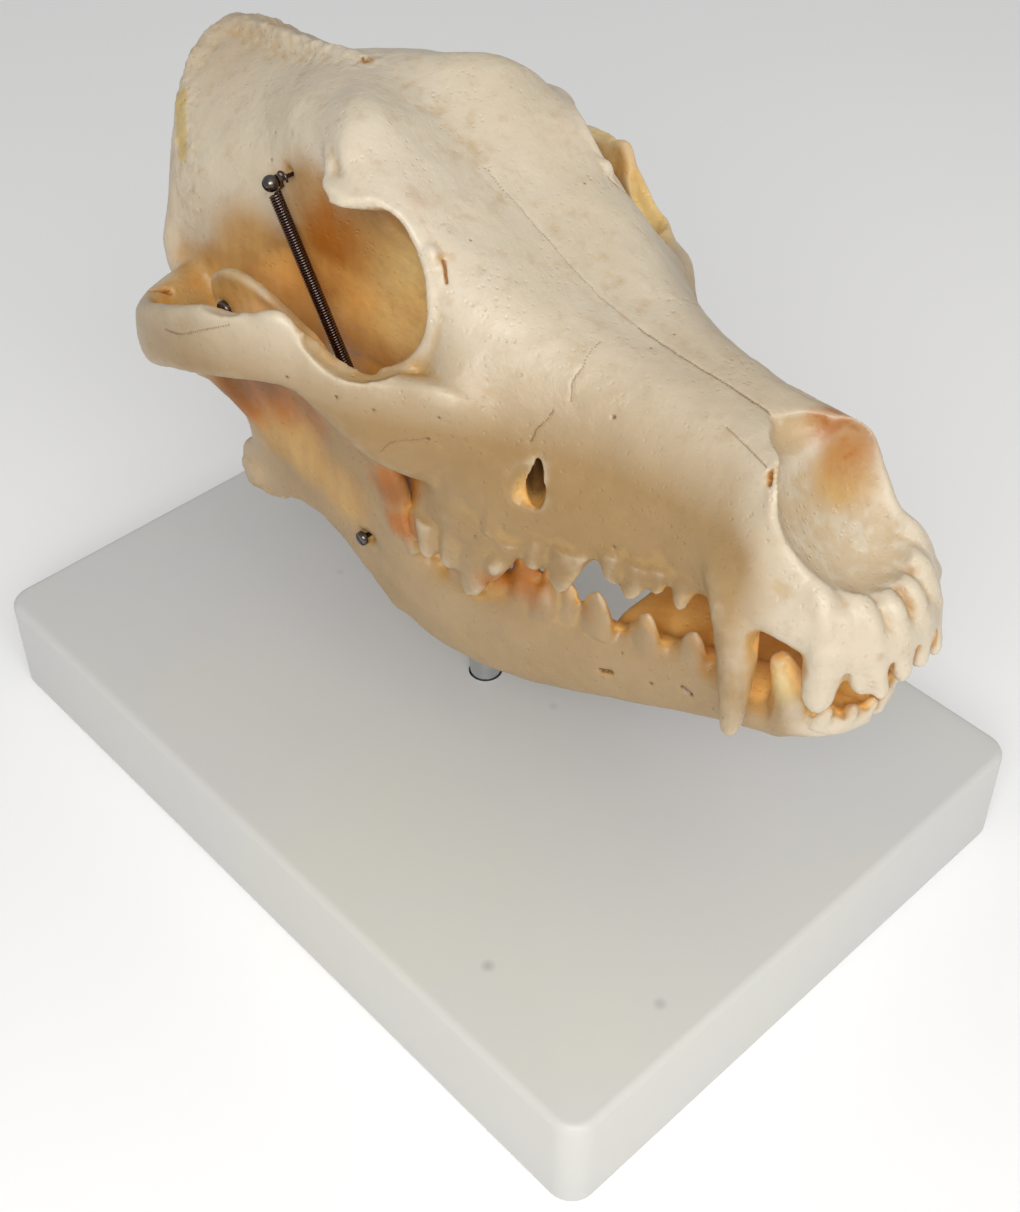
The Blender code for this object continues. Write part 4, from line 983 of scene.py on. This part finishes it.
# Cusps, lines, holes and swellings, written as they are for the skull.
LOWER_CUSPS = (
    ((120.8, -2.4, 110.0), (123.0, -2.4, 118.4), 2.1, 2.2, 0.62),
    ((119.2, -6.9, 110.0), (121.6, -7.1, 118.6), 2.4, 2.3, 0.58),
    ((116.0, -11.0, 111.0), (118.2, -11.6, 118.8), 2.7, 2.5, 0.54),
    ((94.5, -13.5, 112.0), (94.7, -13.9, 119.0), 2.8, 2.1, 0.45),
    ((85.2, -16.0, 111.0), (85.8, -16.6, 120.6), 4.8, 2.5, 0.20),
    ((74.2, -19.2, 110.0), (75.0, -19.9, 120.8), 5.4, 2.6, 0.18),
    ((62.4, -22.8, 109.0), (63.4, -23.6, 121.6), 6.4, 3.0, 0.16),
    ((55.4, -24.4, 109.0), (55.8, -25.0, 120.0), 3.8, 2.9, 0.36),
    ((44.0, -27.0, 107.0), (45.2, -27.6, 125.6), 6.4, 3.4, 0.26),
    ((51.0, -25.8, 107.0), (52.0, -26.4, 124.4), 4.8, 3.2, 0.30),
    ((36.6, -28.4, 107.0), (36.6, -28.8, 114.2), 4.2, 3.2, 0.46),
    ((28.8, -30.0, 106.0), (28.8, -30.3, 112.6), 3.2, 3.0, 0.46),
    ((25.0, -30.6, 106.0), (25.0, -30.8, 112.0), 2.8, 2.8, 0.50),
    ((19.5, -31.8, 106.0), (19.5, -32.0, 110.4), 2.4, 2.2, 0.50),
)
RAMUS_FRONT = (
    (15.8, -35.4, 110.0, 2.4),
    (14.0, -36.8, 120.0, 2.3),
    (13.2, -37.4, 128.0, 2.2),
    (9.4, -39.0, 139.0, 2.0),
)
JAW_LINES = (
    (((67.2, -25.6, 100.5), (69.8, -24.8, 101.2)), 0.65, 1.2, 0.0, True),
    (((86.4, -19.9, 105.4), (88.4, -19.2, 104.5)), 0.65, 1.2, 0.0, True),
    (((62.0, 0.0, 98.0), (84.0, 0.0, 94.0), (104.0, 0.0, 98.0), (121.0, 0.0, 106.0)), 0.40, 0.4, 0.4, False),
)
JAW_PITS = (
    ((79.1, -21.9, 102.7), 0.5, 0.6),
    ((94.0, -17.5, 104.0), 0.35, 0.4),
    ((71.3, -23.4, 107.8), 0.35, 0.4),
)
JAW_SWELLS = (
    ((44.0, -31.0, 104.0), (0.2, -1.0, 0.0), 8.0, 0.8),
    ((100.0, -15.0, 106.0), (0.1, -1.0, 0.1), 7.0, 0.8),
)
JAW_ROUGH = ((-44.0, -38.5, 100.0), (-43.5, -38.5, 96.0), (-38.0, -38.5, 92.0))


def model_jaw():
    jaw = merged_copy("mandible", "jaw_cast")
    rounded(jaw)
    fine_skin(jaw, FIRST_SKIN, rounds=4)
    right = [modelled_bar(LOWER_CANINE), modelled_bar(RAMUS_FRONT)]
    right.extend(modelled_cusp(*cusp) for cusp in LOWER_CUSPS)
    joined(jaw, both_sides(right))
    fine_skin(jaw, JAW_GRID, rounds=3)
    swell(jaw, JAW_SWELLS)
    roughen(jaw, JAW_ROUGH, reach=8.0, height=0.5, grain=2.4)
    uneven(jaw, "jaw waves", height=0.6, grain=9.0)
    uneven(jaw, "jaw grain", height=0.14, grain=1.6)
    return jaw


jaw = model_jaw()
jaw_marks = engraved(JAW_LINES, JAW_PITS, jaw)
refine_near(jaw, jaw_marks)
engrave(jaw, jaw_marks)
thinned(jaw, JAW_TRIANGLES)
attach(jaw, "root")
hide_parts("mandible")


# The finish of both castings: cream resin under a brown wash that was wiped off the high places.
# The wash stays amber in the hollows and dark in the sutures, and the raised edges are rubbed pale.
# Over it lies painted shade: amber and orange brown in the hollows and recesses, nearly black in
# the deepest holes, tan on the lower parts; and painted light: bright amber and ochre deep inside.
# The rays that find the hollows, for the wash and for the painted shade and light in them.
HOLLOW_RAY_REACH = 60.0
HOLLOW_RAYS = 44
HOLLOW_SAMPLES = 9000
# Where more amber is painted, as wash that stayed and as painted shade in the hollows under the arch, in the
# temple, in the nose and in the far orbit: place, reach in mm, strength, and whether it is on both sides.
AMBER_POOLS = (
    ((-30.0, -41.0, 124.0), 18.0, 0.36, True),
    ((-18.0, -40.0, 122.0), 18.0, 0.36, True),
    ((-6.0, -39.8, 117.0), 18.0, 0.30, True),
    ((-33.0, -45.5, 164.0), 14.0, 0.34, True),
    ((-44.0, -31.0, 160.0), 22.0, 0.36, True),
    ((-28.0, -26.5, 180.0), 20.0, 0.30, True),
    ((100.0, 8.0, 158.0), 12.0, 0.34, False),
    ((-6.0, 50.0, 168.5), 20.0, 0.50, False),
    ((10.0, 44.5, 165.5), 14.0, 0.50, False),
)
# Painted light: here the hollow is painted a bright ochre that stands for the light falling into it.
PAINTED_LIGHT_POOLS = (
    ((0.0, -18.6, 166.0), 24.0, 0.75, True),
    ((4.0, -24.0, 157.0), 15.0, 0.60, True),
    ((-6.0, -18.0, 150.0), 18.0, 0.75, True),
    ((9.6, 44.7, 165.2), 20.0, 0.75, False),
    ((-15.5, 54.8, 169.9), 16.0, 0.70, False),
    ((109.5, -15.0, 124.0), 9.0, 0.50, True),
)
# Painted shade in a deep orange brown: between the cheek teeth, under the arch, under the process, in the
# nerve hole and in the nose.
BROWN_SHADE_POOLS = (
    ((-16.0, -22.0, 178.0), 24.0, 0.55, True),
    ((-23.0, -23.9, 172.0), 20.0, 0.74, True),
    ((0.0, -21.0, 187.0), 13.0, 0.60, True),
    ((42.0, -28.5, 141.5), 5.0, 0.60, True),
    ((-27.0, -24.6, 160.0), 16.0, 0.60, True),
    ((-38.9, -42.3, 130.4), 15.0, 1.0, True),
    ((-28.0, -41.4, 136.0), 15.0, 0.95, True),
    ((-14.0, -40.4, 136.0), 14.0, 0.75, True),
    ((48.0, -29.5, 117.5), 11.0, 0.85, True),
    ((41.0, -30.5, 116.0), 11.0, 1.0, True),
    ((13.5, -38.0, 130.0), 11.0, 0.9, True),
    ((14.5, -37.0, 119.0), 9.0, 0.9, True),
    ((62.0, -24.0, 114.0), 6.0, 0.5, True),
    ((43.5, -20.5, 145.0), 10.0, 1.0, True),
    ((99.5, 10.1, 163.0), 10.0, 0.95, False),
    ((96.0, 8.0, 169.0), 9.0, 0.9, False),
)
# Painted shade, nearly black: inside these holes and high in the hollow of the jaw, under the arch.
DARK_HOLES = (
    ((-41.0, -43.2, 131.5), 12.0, 0.62, True),
    ((-30.0, -41.6, 138.0), 11.0, 0.62, True),
    ((45.5, -24.0, 141.5), 4.5, 0.90, True),
    ((-18.0, -41.0, 137.5), 10.0, 0.40, True),
    ((12.5, -37.5, 128.0), 8.0, 0.50, True),
    ((43.5, -21.5, 147.0), 9.0, 1.0, True),
    ((44.0, -22.0, 142.5), 9.0, 1.0, True),
)
# A pool or a line rises to this at its middle and is cut off at 1, so its edge is soft.
SOFT_EDGE = 1.4
# Where the tan fades in, in mm: each pair runs from the least of it to the most. The tan is the wash, and
# painted shade on the lower parts; on the crest it is the wash alone.
TAN_LEAST = 0.3
TAN_DOWN = (176.0, 154.0)
TAN_FORWARD = (-90.0, -30.0)
# Where it is thinner again, and by how much: low on the jaw, on the front teeth, and at the lip and in
# the bowl of the nose. There, on the crest, in relief and at the chip a pair says where the change
# starts and where it ends.
JAW_THINNER = 0.15
JAW_EDGE = (125.0, 115.0)
FRONT_THINNER = 0.95
FRONT_ABOVE = (122.0, 132.0)
FRONT_TIP = (111.0, 116.0)
FRONT_TEETH = (99.0, 109.0)
LIP_THINNER = 0.85
LIP_REACH = 9.0
LIP_GAP = (2.0, 8.5)
BOWL_THINNER = 0.6
BOWL_CLEANER = 0.92
BOWL_MIDDLE = (107.0, 0.0, 157.0)
BOWL_GAP = (18.0, 16.0)
CREST_TAN = 0.40
CREST_BACK = (-58.0, -74.0)
CREST_HEIGHT = (180.0, 190.0)
RAISED_RELIEF = (0.25, 0.95)
RAISED_ROUNDS = 30
CREVICE_RELIEF = (0.03, 0.16)
CREVICE_ROUNDS = 10
CHIP_REACH = 4.0
CHIP_GAP = (3.52, 1.32)
# The colours of the resin, of the wash on it and of the painted shade and light. A pair is a darker and a
# lighter tone.
CREAM = ((0.54, 0.455, 0.325), (0.63, 0.55, 0.43))
# TAN is the wash and painted shade on the lower parts.
TAN = ((0.255, 0.147, 0.046), (0.350, 0.228, 0.099))
# AMBER is the wash in the hollows, darkened as painted shade. BRIGHT_AMBER, in the deepest hollows, is
# painted light that stands for light glowing inside them.
AMBER = ((0.36, 0.17, 0.035), (0.50, 0.30, 0.09))
BRIGHT_AMBER = ((0.70, 0.33, 0.06), (0.90, 0.55, 0.18))
# OCHRE is painted light in the orbits and the nose.
OCHRE = ((0.88, 0.60, 0.20), (1.0, 0.80, 0.36))
FLECK = (0.36, 0.23, 0.10)
# ORANGE_BROWN is the painted shade of the brown pools and the slots.
ORANGE_BROWN = (0.36, 0.11, 0.004)
# What lies over these: mask, where it starts and is full, strength and colour.
LAST_TOUCHES = (
    ("raised", 0.0, 1.0, 0.45, (0.64, 0.56, 0.42)),
    ("crevice", 0.0, 1.0, 0.38, (0.42, 0.26, 0.09)),
    ("chip", 0.2, 1.0, 0.8, (0.50, 0.36, 0.12)),
    # The dark of the sutures, with the nearly black painted shade of the dark holes.
    ("suture_and_shade", 0.05, 0.90, 0.80, (0.12, 0.055, 0.014)),
)


def even_directions(count):
    """Directions spread evenly over a sphere."""
    turn = math.pi * (3.0 - math.sqrt(5.0))
    ways = []
    for i in range(count):
        up = 1.0 - 2.0 * (i + 0.5) / count
        flat = math.sqrt(1.0 - up * up)
        ways.append(Vector((flat * math.cos(turn * i), flat * math.sin(turn * i), up)))
    return ways


def how_hollow(item, blockers):
    """For each point of the mesh, the share of the directions out of it that bone blocks."""
    tree = surface_tree(blockers)
    points, outward = surface_arrays(item)
    picked = np.random.default_rng(5).permutation(len(points))[:HOLLOW_SAMPLES]
    ways = even_directions(HOLLOW_RAYS)
    near = KDTree(len(picked))
    values = np.empty(len(picked))
    for slot, i in enumerate(picked):
        place = Vector(points[i])
        normal = Vector(outward[i])
        start = (place + normal * 0.5) * MM
        blocked = 0.0
        whole = 0.0
        for way in ways:
            lean = way.dot(normal)
            if lean > 0.05:
                whole += lean
                hit = tree.ray_cast(start, way, HOLLOW_RAY_REACH * MM)
                if hit[0] is not None:
                    blocked += lean * (1.0 - 0.5 * hit[3] / (HOLLOW_RAY_REACH * MM))
        values[slot] = blocked / whole
        near.insert(place, slot)
    near.balance()
    hollow = np.empty(len(points), np.float32)
    facing = outward[picked]
    for i in range(len(points)):
        total = 0.0
        weight = 1e-6
        for _, slot, gap in near.find_n(points[i], 7):
            agree = max(0.02, float(facing[slot] @ outward[i]))
            share = agree * agree / (gap + 0.4)
            total += values[slot] * share
            weight += share
        hollow[i] = total / weight
    return hollow


def write_mask(item, name, values):
    mask = item.data.attributes.new(name, "FLOAT", "POINT")
    mask.data.foreach_set("value", values.astype(np.float32))


def relief(item, rounds):
    """How far each point stands out of the eased surface round it, in mm."""
    mesh = item.data
    count = len(mesh.vertices)
    ends = np.empty(len(mesh.edges) * 2, np.int64)
    mesh.edges.foreach_get("vertices", ends)
    first, second = ends.reshape(-1, 2).T
    degree = np.bincount(first, minlength=count) + np.bincount(second, minlength=count)
    points, outward = surface_arrays(item)
    eased = points.astype(float)
    for _ in range(rounds):
        for axis in range(3):
            total = np.bincount(first, weights=eased[second, axis], minlength=count)
            total += np.bincount(second, weights=eased[first, axis], minlength=count)
            eased[:, axis] = 0.5 * eased[:, axis] + 0.5 * total / degree
    return np.sum((points - eased) * outward, axis=1)


def fade(values, start, end):
    """From 0 at the start to 1 at the end."""
    return np.clip((values - start) / (end - start), 0.0, 1.0)


def pooled(points, pools):
    """The strength of the strongest pool at each point."""
    strength = np.zeros(len(points))
    for place, reach, most, both in pools:
        for spot in (place, flipped(place)) if both else (place,):
            gap = np.linalg.norm(points - np.array(spot), axis=1)
            strength = np.maximum(strength, most * np.clip(SOFT_EDGE * (1.0 - gap / reach), 0.0, 1.0))
    return strength


def lined(points, marks):
    """How near each point is to an engraved mark or its floor, 0 to 1, and less at a shallow mark."""
    strength = np.zeros(len(points))
    for places, below, width, depth in marks:
        gap = distances(points, places + below, 1.5 * width)
        strength = np.maximum(strength, np.clip(SOFT_EDGE - gap / width, 0.0, 1.0) * min(1.0, 0.3 + depth))
    return strength


def gap_to(points, path, reach):
    """How far each point is from a path, in mm, or reach where it is farther."""
    return distances(points, [Vector(row[:3]) for row in smooth_path(path, 10)], reach)


def paint_wash_shade_and_light(item, marks, slots, blockers):
    """Writes the masks that the resin's colours follow, one value for each point of the mesh: the wash, and
    painted shade and painted light in the hollows and on the lower parts.
    """
    points = surface_arrays(item)[0]
    x, y, z = points.T
    # The tan: wash, and painted shade that grows lower down.
    low = fade(z, *TAN_DOWN) * np.maximum(TAN_LEAST, fade(x, *TAN_FORWARD))
    low *= 1.0 - JAW_THINNER * fade(z, *JAW_EDGE)
    front = fade(x, *FRONT_TEETH) * np.maximum(fade(z, *FRONT_ABOVE), fade(x, *FRONT_TIP))
    low *= 1.0 - FRONT_THINNER * front
    low *= 1.0 - LIP_THINNER * (1.0 - fade(gap_to(points, NOSE_LIP, LIP_REACH), *LIP_GAP))
    bowl = fade(np.linalg.norm(points - np.array(BOWL_MIDDLE), axis=1), *BOWL_GAP)
    crest = CREST_TAN * fade(x, *CREST_BACK) * fade(z, *CREST_HEIGHT)
    write_mask(item, "tan", np.maximum(crest, low * (1.0 - BOWL_THINNER * bowl)))
    # The hollow mask, from rays: the wash in the hollows, painted shade, and painted light in the deepest
    # ones.
    hollow = how_hollow(item, blockers) * (1.0 - BOWL_CLEANER * bowl)
    write_mask(item, "hollow", np.maximum(hollow, pooled(points, AMBER_POOLS)))
    # Painted light: where the hollow is painted a bright ochre.
    write_mask(item, "painted_light", pooled(points, PAINTED_LIGHT_POOLS))
    # Painted shade in orange brown: the brown pools and the slots.
    write_mask(item, "brown", np.maximum(pooled(points, BROWN_SHADE_POOLS), lined(points, slots)))
    write_mask(item, "raised", fade(relief(item, RAISED_ROUNDS), *RAISED_RELIEF))
    write_mask(item, "crevice", fade(-relief(item, CREVICE_ROUNDS), *CREVICE_RELIEF))
    # Dark sutures and slots, and the nearly black painted shade inside the dark holes.
    dark = np.maximum(lined(points, marks), 0.3 * lined(points, slots))
    write_mask(item, "suture_and_shade", np.maximum(pooled(points, DARK_HOLES), dark))
    write_mask(item, "chip", fade(gap_to(points, CREST_CHIP, CHIP_REACH), *CHIP_GAP))


def attribute(tree, name):
    node = tree.nodes.new("ShaderNodeAttribute")
    node.attribute_type = "GEOMETRY"
    node.attribute_name = name
    return node.outputs["Fac"]


def ramp(tree, value, low, high, gain=1.0):
    node = tree.nodes.new("ShaderNodeMapRange")
    node.interpolation_type = "SMOOTHSTEP"
    node.inputs["From Min"].default_value = low
    node.inputs["From Max"].default_value = high
    node.inputs["To Max"].default_value = gain
    tree.links.new(value, node.inputs["Value"])
    return node.outputs["Result"]


def bone_resin():
    resin, tree, shader = new_material("bone_resin_cast")
    shader.inputs["Subsurface Weight"].default_value = 0.12
    shader.inputs["Subsurface Radius"].default_value = (1.0, 0.55, 0.25)
    shader.inputs["Subsurface Scale"].default_value = 0.003
    where = tree.nodes.new("ShaderNodeTexCoord").outputs["Object"]
    streaks = tree.nodes.new("ShaderNodeMapping")
    streaks.inputs["Scale"].default_value = (1.0, 1.0, 0.3)
    tree.links.new(where, streaks.inputs["Vector"])
    broad = add_mask(tree, mottle, where, Scale=26.0, Contrast=2.2)
    small = add_mask(tree, mottle, where, Scale=220.0, Contrast=1.8)
    patches = add_mask(tree, mottle, where, Scale=55.0, Contrast=3.0)
    pores = add_mask(tree, specks, where, Scale=520.0, Size=0.26)
    brushed = add_mask(tree, mottle, streaks.outputs["Vector"], Scale=110.0, Contrast=2.6)
    hollow = attribute(tree, "hollow")
    # Painted shade in orange brown, streaked, from the brown pools and the slots.
    brown_shade = add_math(tree, "MULTIPLY_ADD", brushed, 0.45, attribute(tree, "brown"))
    colour = add_mix(tree, broad, *CREAM)
    for mask, over in (
        # Tan: the wash, and painted shade on the lower parts.
        (attribute(tree, "tan"), add_mix(tree, broad, *TAN)),
        (ramp(tree, small, 0.50, 0.95, 0.30), FLECK),
        # The hollow mask: amber wash and painted shade, then painted light as bright amber in the deepest
        # hollows.
        (ramp(tree, hollow, 0.10, 0.34, 0.90), add_mix(tree, brushed, *AMBER)),
        (ramp(tree, hollow, 0.36, 0.62), add_mix(tree, brushed, *BRIGHT_AMBER)),
        # Painted light: bright ochre in the orbits and the nose.
        (ramp(tree, attribute(tree, "painted_light"), 0.0, 1.0, 0.85), add_mix(tree, brushed, *OCHRE)),
        (ramp(tree, brown_shade, 0.45, 1.25, 0.95), ORANGE_BROWN),
    ):
        colour = add_mix(tree, mask, colour, over)
    for name, low, high, gain, tint in LAST_TOUCHES:
        colour = add_mix(tree, ramp(tree, attribute(tree, name), low, high, gain), colour, tint)
    tree.links.new(colour, shader.inputs["Base Color"])
    add_gloss(tree, small, 0.34, 0.50)
    holes = add_bump(tree, add_math(tree, "MULTIPLY", pores, patches), 0.6, 0.4)
    holes.invert = True
    tree.links.new(add_bump(tree, small, 0.5, 0.4).outputs["Normal"], holes.inputs["Normal"])
    tree.links.new(holes.outputs["Normal"], shader.inputs["Normal"])
    return resin


bone = bone_resin()
for casting, marks, slots in ((skull, skull_marks, skull_slots), (jaw, jaw_marks, [])):
    paint_wash_shade_and_light(casting, marks, slots, (skull, jaw))
    dress(casting, bone)


# The springs: close-wound from dark hard-drawn wire, one on each side, with a bent eye at each end.
# The upper eye hangs on the neck of the ball-headed screw, the lower one in the eye of the jaw bolt.
WIRE_RADIUS = 0.29
COIL_RADIUS = 1.36
COIL_PITCH = 0.62
COIL_STEPS = 12
SPRING_TOP = (-35.0, -30.6, 183.1)
SPRING_FOOT = (0.3, -25.5, 106.0)
TOP_ROOM = 2.5
FOOT_ROOM = 3.6
EYE_RADIUS = 1.55
EYE_STEPS = 12
EYE_STEP_TURN = 28
NECK_OFFSET = 2.9


def wound_coil(start, end):
    """A close-wound coil from one place to another."""
    along = end - start
    turns = int(along.length / COIL_PITCH)
    coil = added(
        bpy.ops.mesh.primitive_circle_add,
        vertices=6,
        radius=WIRE_RADIUS * MM,
        fill_type="NOTHING",
        location=(COIL_RADIUS * MM, 0.0, 0.0),
        rotation=(math.radians(90), 0.0, 0.0),
    )
    settle(coil)
    winding = coil.modifiers.new("winding", "SCREW")
    winding.axis = "Z"
    winding.screw_offset = COIL_PITCH * MM
    winding.iterations = turns
    winding.steps = COIL_STEPS
    winding.render_steps = COIL_STEPS
    winding.use_smooth_shade = True
    apply_all(coil)
    bpy.ops.object.mode_set(mode="EDIT")
    bpy.ops.mesh.select_all(action="SELECT")
    bpy.ops.mesh.fill_holes(sides=0)
    bpy.ops.mesh.select_all(action="SELECT")
    bpy.ops.mesh.normals_make_consistent(inside=False)
    bpy.ops.object.mode_set(mode="OBJECT")
    coil.rotation_mode = "QUATERNION"
    coil.rotation_quaternion = along.to_track_quat("Z", "Y")
    coil.location = start * MM
    return settle(coil)


def bent_eye(middle, coil_end, across):
    """A loop of the wire round a place, with a leg that runs into the coil's end."""
    across = Vector(across)
    leg = coil_end - middle
    first = (leg - across * leg.dot(across)).normalized()
    second = across.cross(first)
    rows = [(*coil_end, WIRE_RADIUS), (*coil_end.lerp(middle + first * EYE_RADIUS, 0.6), WIRE_RADIUS)]
    for step in range(EYE_STEPS):
        turn = math.radians(EYE_STEP_TURN * step)
        place = middle + (first * math.cos(turn) + second * math.sin(turn)) * EYE_RADIUS
        rows.append((*(place + across * 0.05 * step), WIRE_RADIUS))
    return modelled_bar(rows)


def make_spring():
    top = Vector(SPRING_TOP)
    foot = Vector(SPRING_FOOT)
    along = (foot - top).normalized()
    start = top + along * TOP_ROOM
    end = foot - along * FOOT_ROOM
    spring = wound_coil(start, end)
    eyes = [
        bent_eye(top + Vector((0.0, NECK_OFFSET, 0.0)), start, (0.0, 1.0, 0.0)),
        bent_eye(foot - along * EYE_RADIUS, end, (1.0, 0.0, 0.0)),
    ]
    joined(spring, eyes)
    bpy.ops.object.shade_smooth()
    dress(spring, spring_steel)
    return spring


def paired(item, name, node):
    """Makes the left piece from the right one, and sets both in the places of their nodes."""
    twin = mirrored_copy(item)
    item.name = name + "_right"
    twin.name = name + "_left"
    for piece, side in ((item, "right"), (twin, "left")):
        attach(piece, "root")
        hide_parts(f"{node}_{side}")


spring_steel = polished_steel("spring_steel_dark", (0.13, 0.095, 0.085), 0.18, 1.0)
paired(make_spring(), "coil_spring", "spring")


# The screws: turned from dark steel. One with a ball head stands in each temple, a slotted bolt with
# an eye on its inner end goes through each side of the jaw, and a small slotted one sits in each ramus.
BALL_RADIUS = 1.95
HEAD_RADIUS = 1.8
RAMUS_HEAD_RADIUS = 2.2
HEAD_HEIGHT = 1.4
HEAD_EDGE = 0.75
SLOT = (0.5, 0.6)
SLOT_TURN = 35
SHANK_RADIUS = 0.95
THREAD_PITCH = 0.8
THREAD_DEPTH = 0.18
# The collar under the ball: how far in, length and radius. The shank starts a little farther in.
COLLAR = (1.6, 0.9, 1.45)
COLLAR_TO_SHANK = 2.0
EYE_WIRE = 0.48
EYE_REACH = 1.9
# How far the shank runs into the head and into the eye.
HEAD_OVERLAP = 0.2
EYE_OVERLAP = 0.5
# How far the ramus screw sits before and above the middle of its node, as the photo shows it.
RAMUS_SHIFT = (2.5, 1.0)


def united(item, others):
    """One closed piece from several that overlap."""
    for other in others:
        boolean(item, other, "UNION")
    return item


def outward_bar(place, length, radius, vertices=24):
    """A round bar across the animal: from a place on its right side inward, over a length."""
    bar = added(
        bpy.ops.mesh.primitive_cylinder_add,
        vertices=vertices,
        radius=radius * MM,
        depth=length * MM,
        location=(place[0] * MM, (place[1] + length / 2) * MM, place[2] * MM),
        rotation=(math.radians(90), 0.0, 0.0),
    )
    return settle(bar)


def threaded_shank(place, length):
    """A shank with rings cut round it at the pitch of its thread."""
    shank = outward_bar(place, length, SHANK_RADIUS)
    shape = bmesh.new()
    shape.from_mesh(shank.data)
    rings = int(length / (THREAD_PITCH / 2))
    for number in range(1, rings):
        level = (place[1] + number * THREAD_PITCH / 2) * MM
        geometry = shape.verts[:] + shape.edges[:] + shape.faces[:]
        bmesh.ops.bisect_plane(shape, geom=geometry, plane_co=(0.0, level, 0.0), plane_no=(0.0, 1.0, 0.0))
        if number % 2:
            for vertex in shape.verts:
                if abs(vertex.co.y - level) < 1e-7:
                    vertex.co.x += (place[0] * MM - vertex.co.x) * THREAD_DEPTH
                    vertex.co.z += (place[2] * MM - vertex.co.z) * THREAD_DEPTH
    shape.to_mesh(shank.data)
    shape.free()
    return shank


def slotted(item, place, reach):
    """Cuts the driver's slot into the outer end of a head."""
    blade = added(bpy.ops.mesh.primitive_cube_add, size=1.0, location=[c * MM for c in place])
    blade.dimensions = (reach * 2.4 * MM, SLOT[1] * 2 * MM, SLOT[0] * MM)
    blade.rotation_euler = (0.0, math.radians(SLOT_TURN), 0.0)
    boolean(item, settle(blade), "DIFFERENCE")
    return item


def pan_head(place, radius=HEAD_RADIUS):
    """A round head with a soft outer edge."""
    head = outward_bar(place, HEAD_HEIGHT, radius, 40)
    bpy.ops.object.mode_set(mode="EDIT")
    bpy.ops.mesh.select_mode(type="EDGE")
    face = place[1] * MM
    bevel_edges(head, lambda a, b: abs(a.y - face) < 1e-6 and abs(b.y - face) < 1e-6, HEAD_EDGE, 5)
    bpy.ops.object.mode_set(mode="OBJECT")
    return slotted(head, place, radius)


def finished_screw(screw):
    alone(screw)
    bpy.ops.object.shade_smooth_by_angle(angle=math.radians(32))
    dress(screw, screw_steel)
    return screw


def make_ball_screw():
    x, y, z = SPRING_TOP
    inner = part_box("spring_anchor_right")[1][1] / MM
    ball = added(
        bpy.ops.mesh.primitive_uv_sphere_add,
        segments=40,
        ring_count=24,
        radius=BALL_RADIUS * MM,
        location=(x * MM, y * MM, z * MM),
    )
    ball = slotted(settle(ball), (x, y - BALL_RADIUS, z), BALL_RADIUS)
    collar = outward_bar((x, y + COLLAR[0], z), COLLAR[1], COLLAR[2], 32)
    shank = threaded_shank((x, y + COLLAR_TO_SHANK, z), inner - y - COLLAR_TO_SHANK)
    return finished_screw(united(ball, [collar, shank]))


def make_jaw_bolt():
    x, y, z = SPRING_FOOT
    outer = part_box("jaw_screw_right")[0][1] / MM
    head = pan_head((x, outer, z))
    length = y - EYE_REACH - outer - HEAD_HEIGHT + EYE_OVERLAP
    shank = threaded_shank((x, outer + HEAD_HEIGHT - HEAD_OVERLAP, z), length)
    eye = added(
        bpy.ops.mesh.primitive_torus_add,
        major_segments=40,
        minor_segments=14,
        major_radius=(EYE_REACH - EYE_WIRE) * MM,
        minor_radius=EYE_WIRE * MM,
        location=(x * MM, y * MM, z * MM),
        rotation=(0.0, math.radians(90), 0.0),
    )
    return finished_screw(united(head, [shank, settle(eye)]))


def make_ramus_screw():
    low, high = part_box("coronoid_screw_right")
    x = (low[0] + high[0]) / 2 / MM + RAMUS_SHIFT[0]
    z = (low[2] + high[2]) / 2 / MM + RAMUS_SHIFT[1]
    outer = low[1] / MM
    head = pan_head((x, outer, z), RAMUS_HEAD_RADIUS)
    shank = threaded_shank((x, outer + HEAD_HEIGHT - HEAD_OVERLAP, z), high[1] / MM - outer - HEAD_HEIGHT)
    return finished_screw(united(head, [shank]))


screw_steel = polished_steel("screw_steel_dark", (0.14, 0.125, 0.12), 0.22, 1.0)
paired(make_ball_screw(), "ball_screw", "spring_anchor")
paired(make_jaw_bolt(), "jaw_bolt", "jaw_screw")
paired(make_ramus_screw(), "ramus_screw", "coronoid_screw")
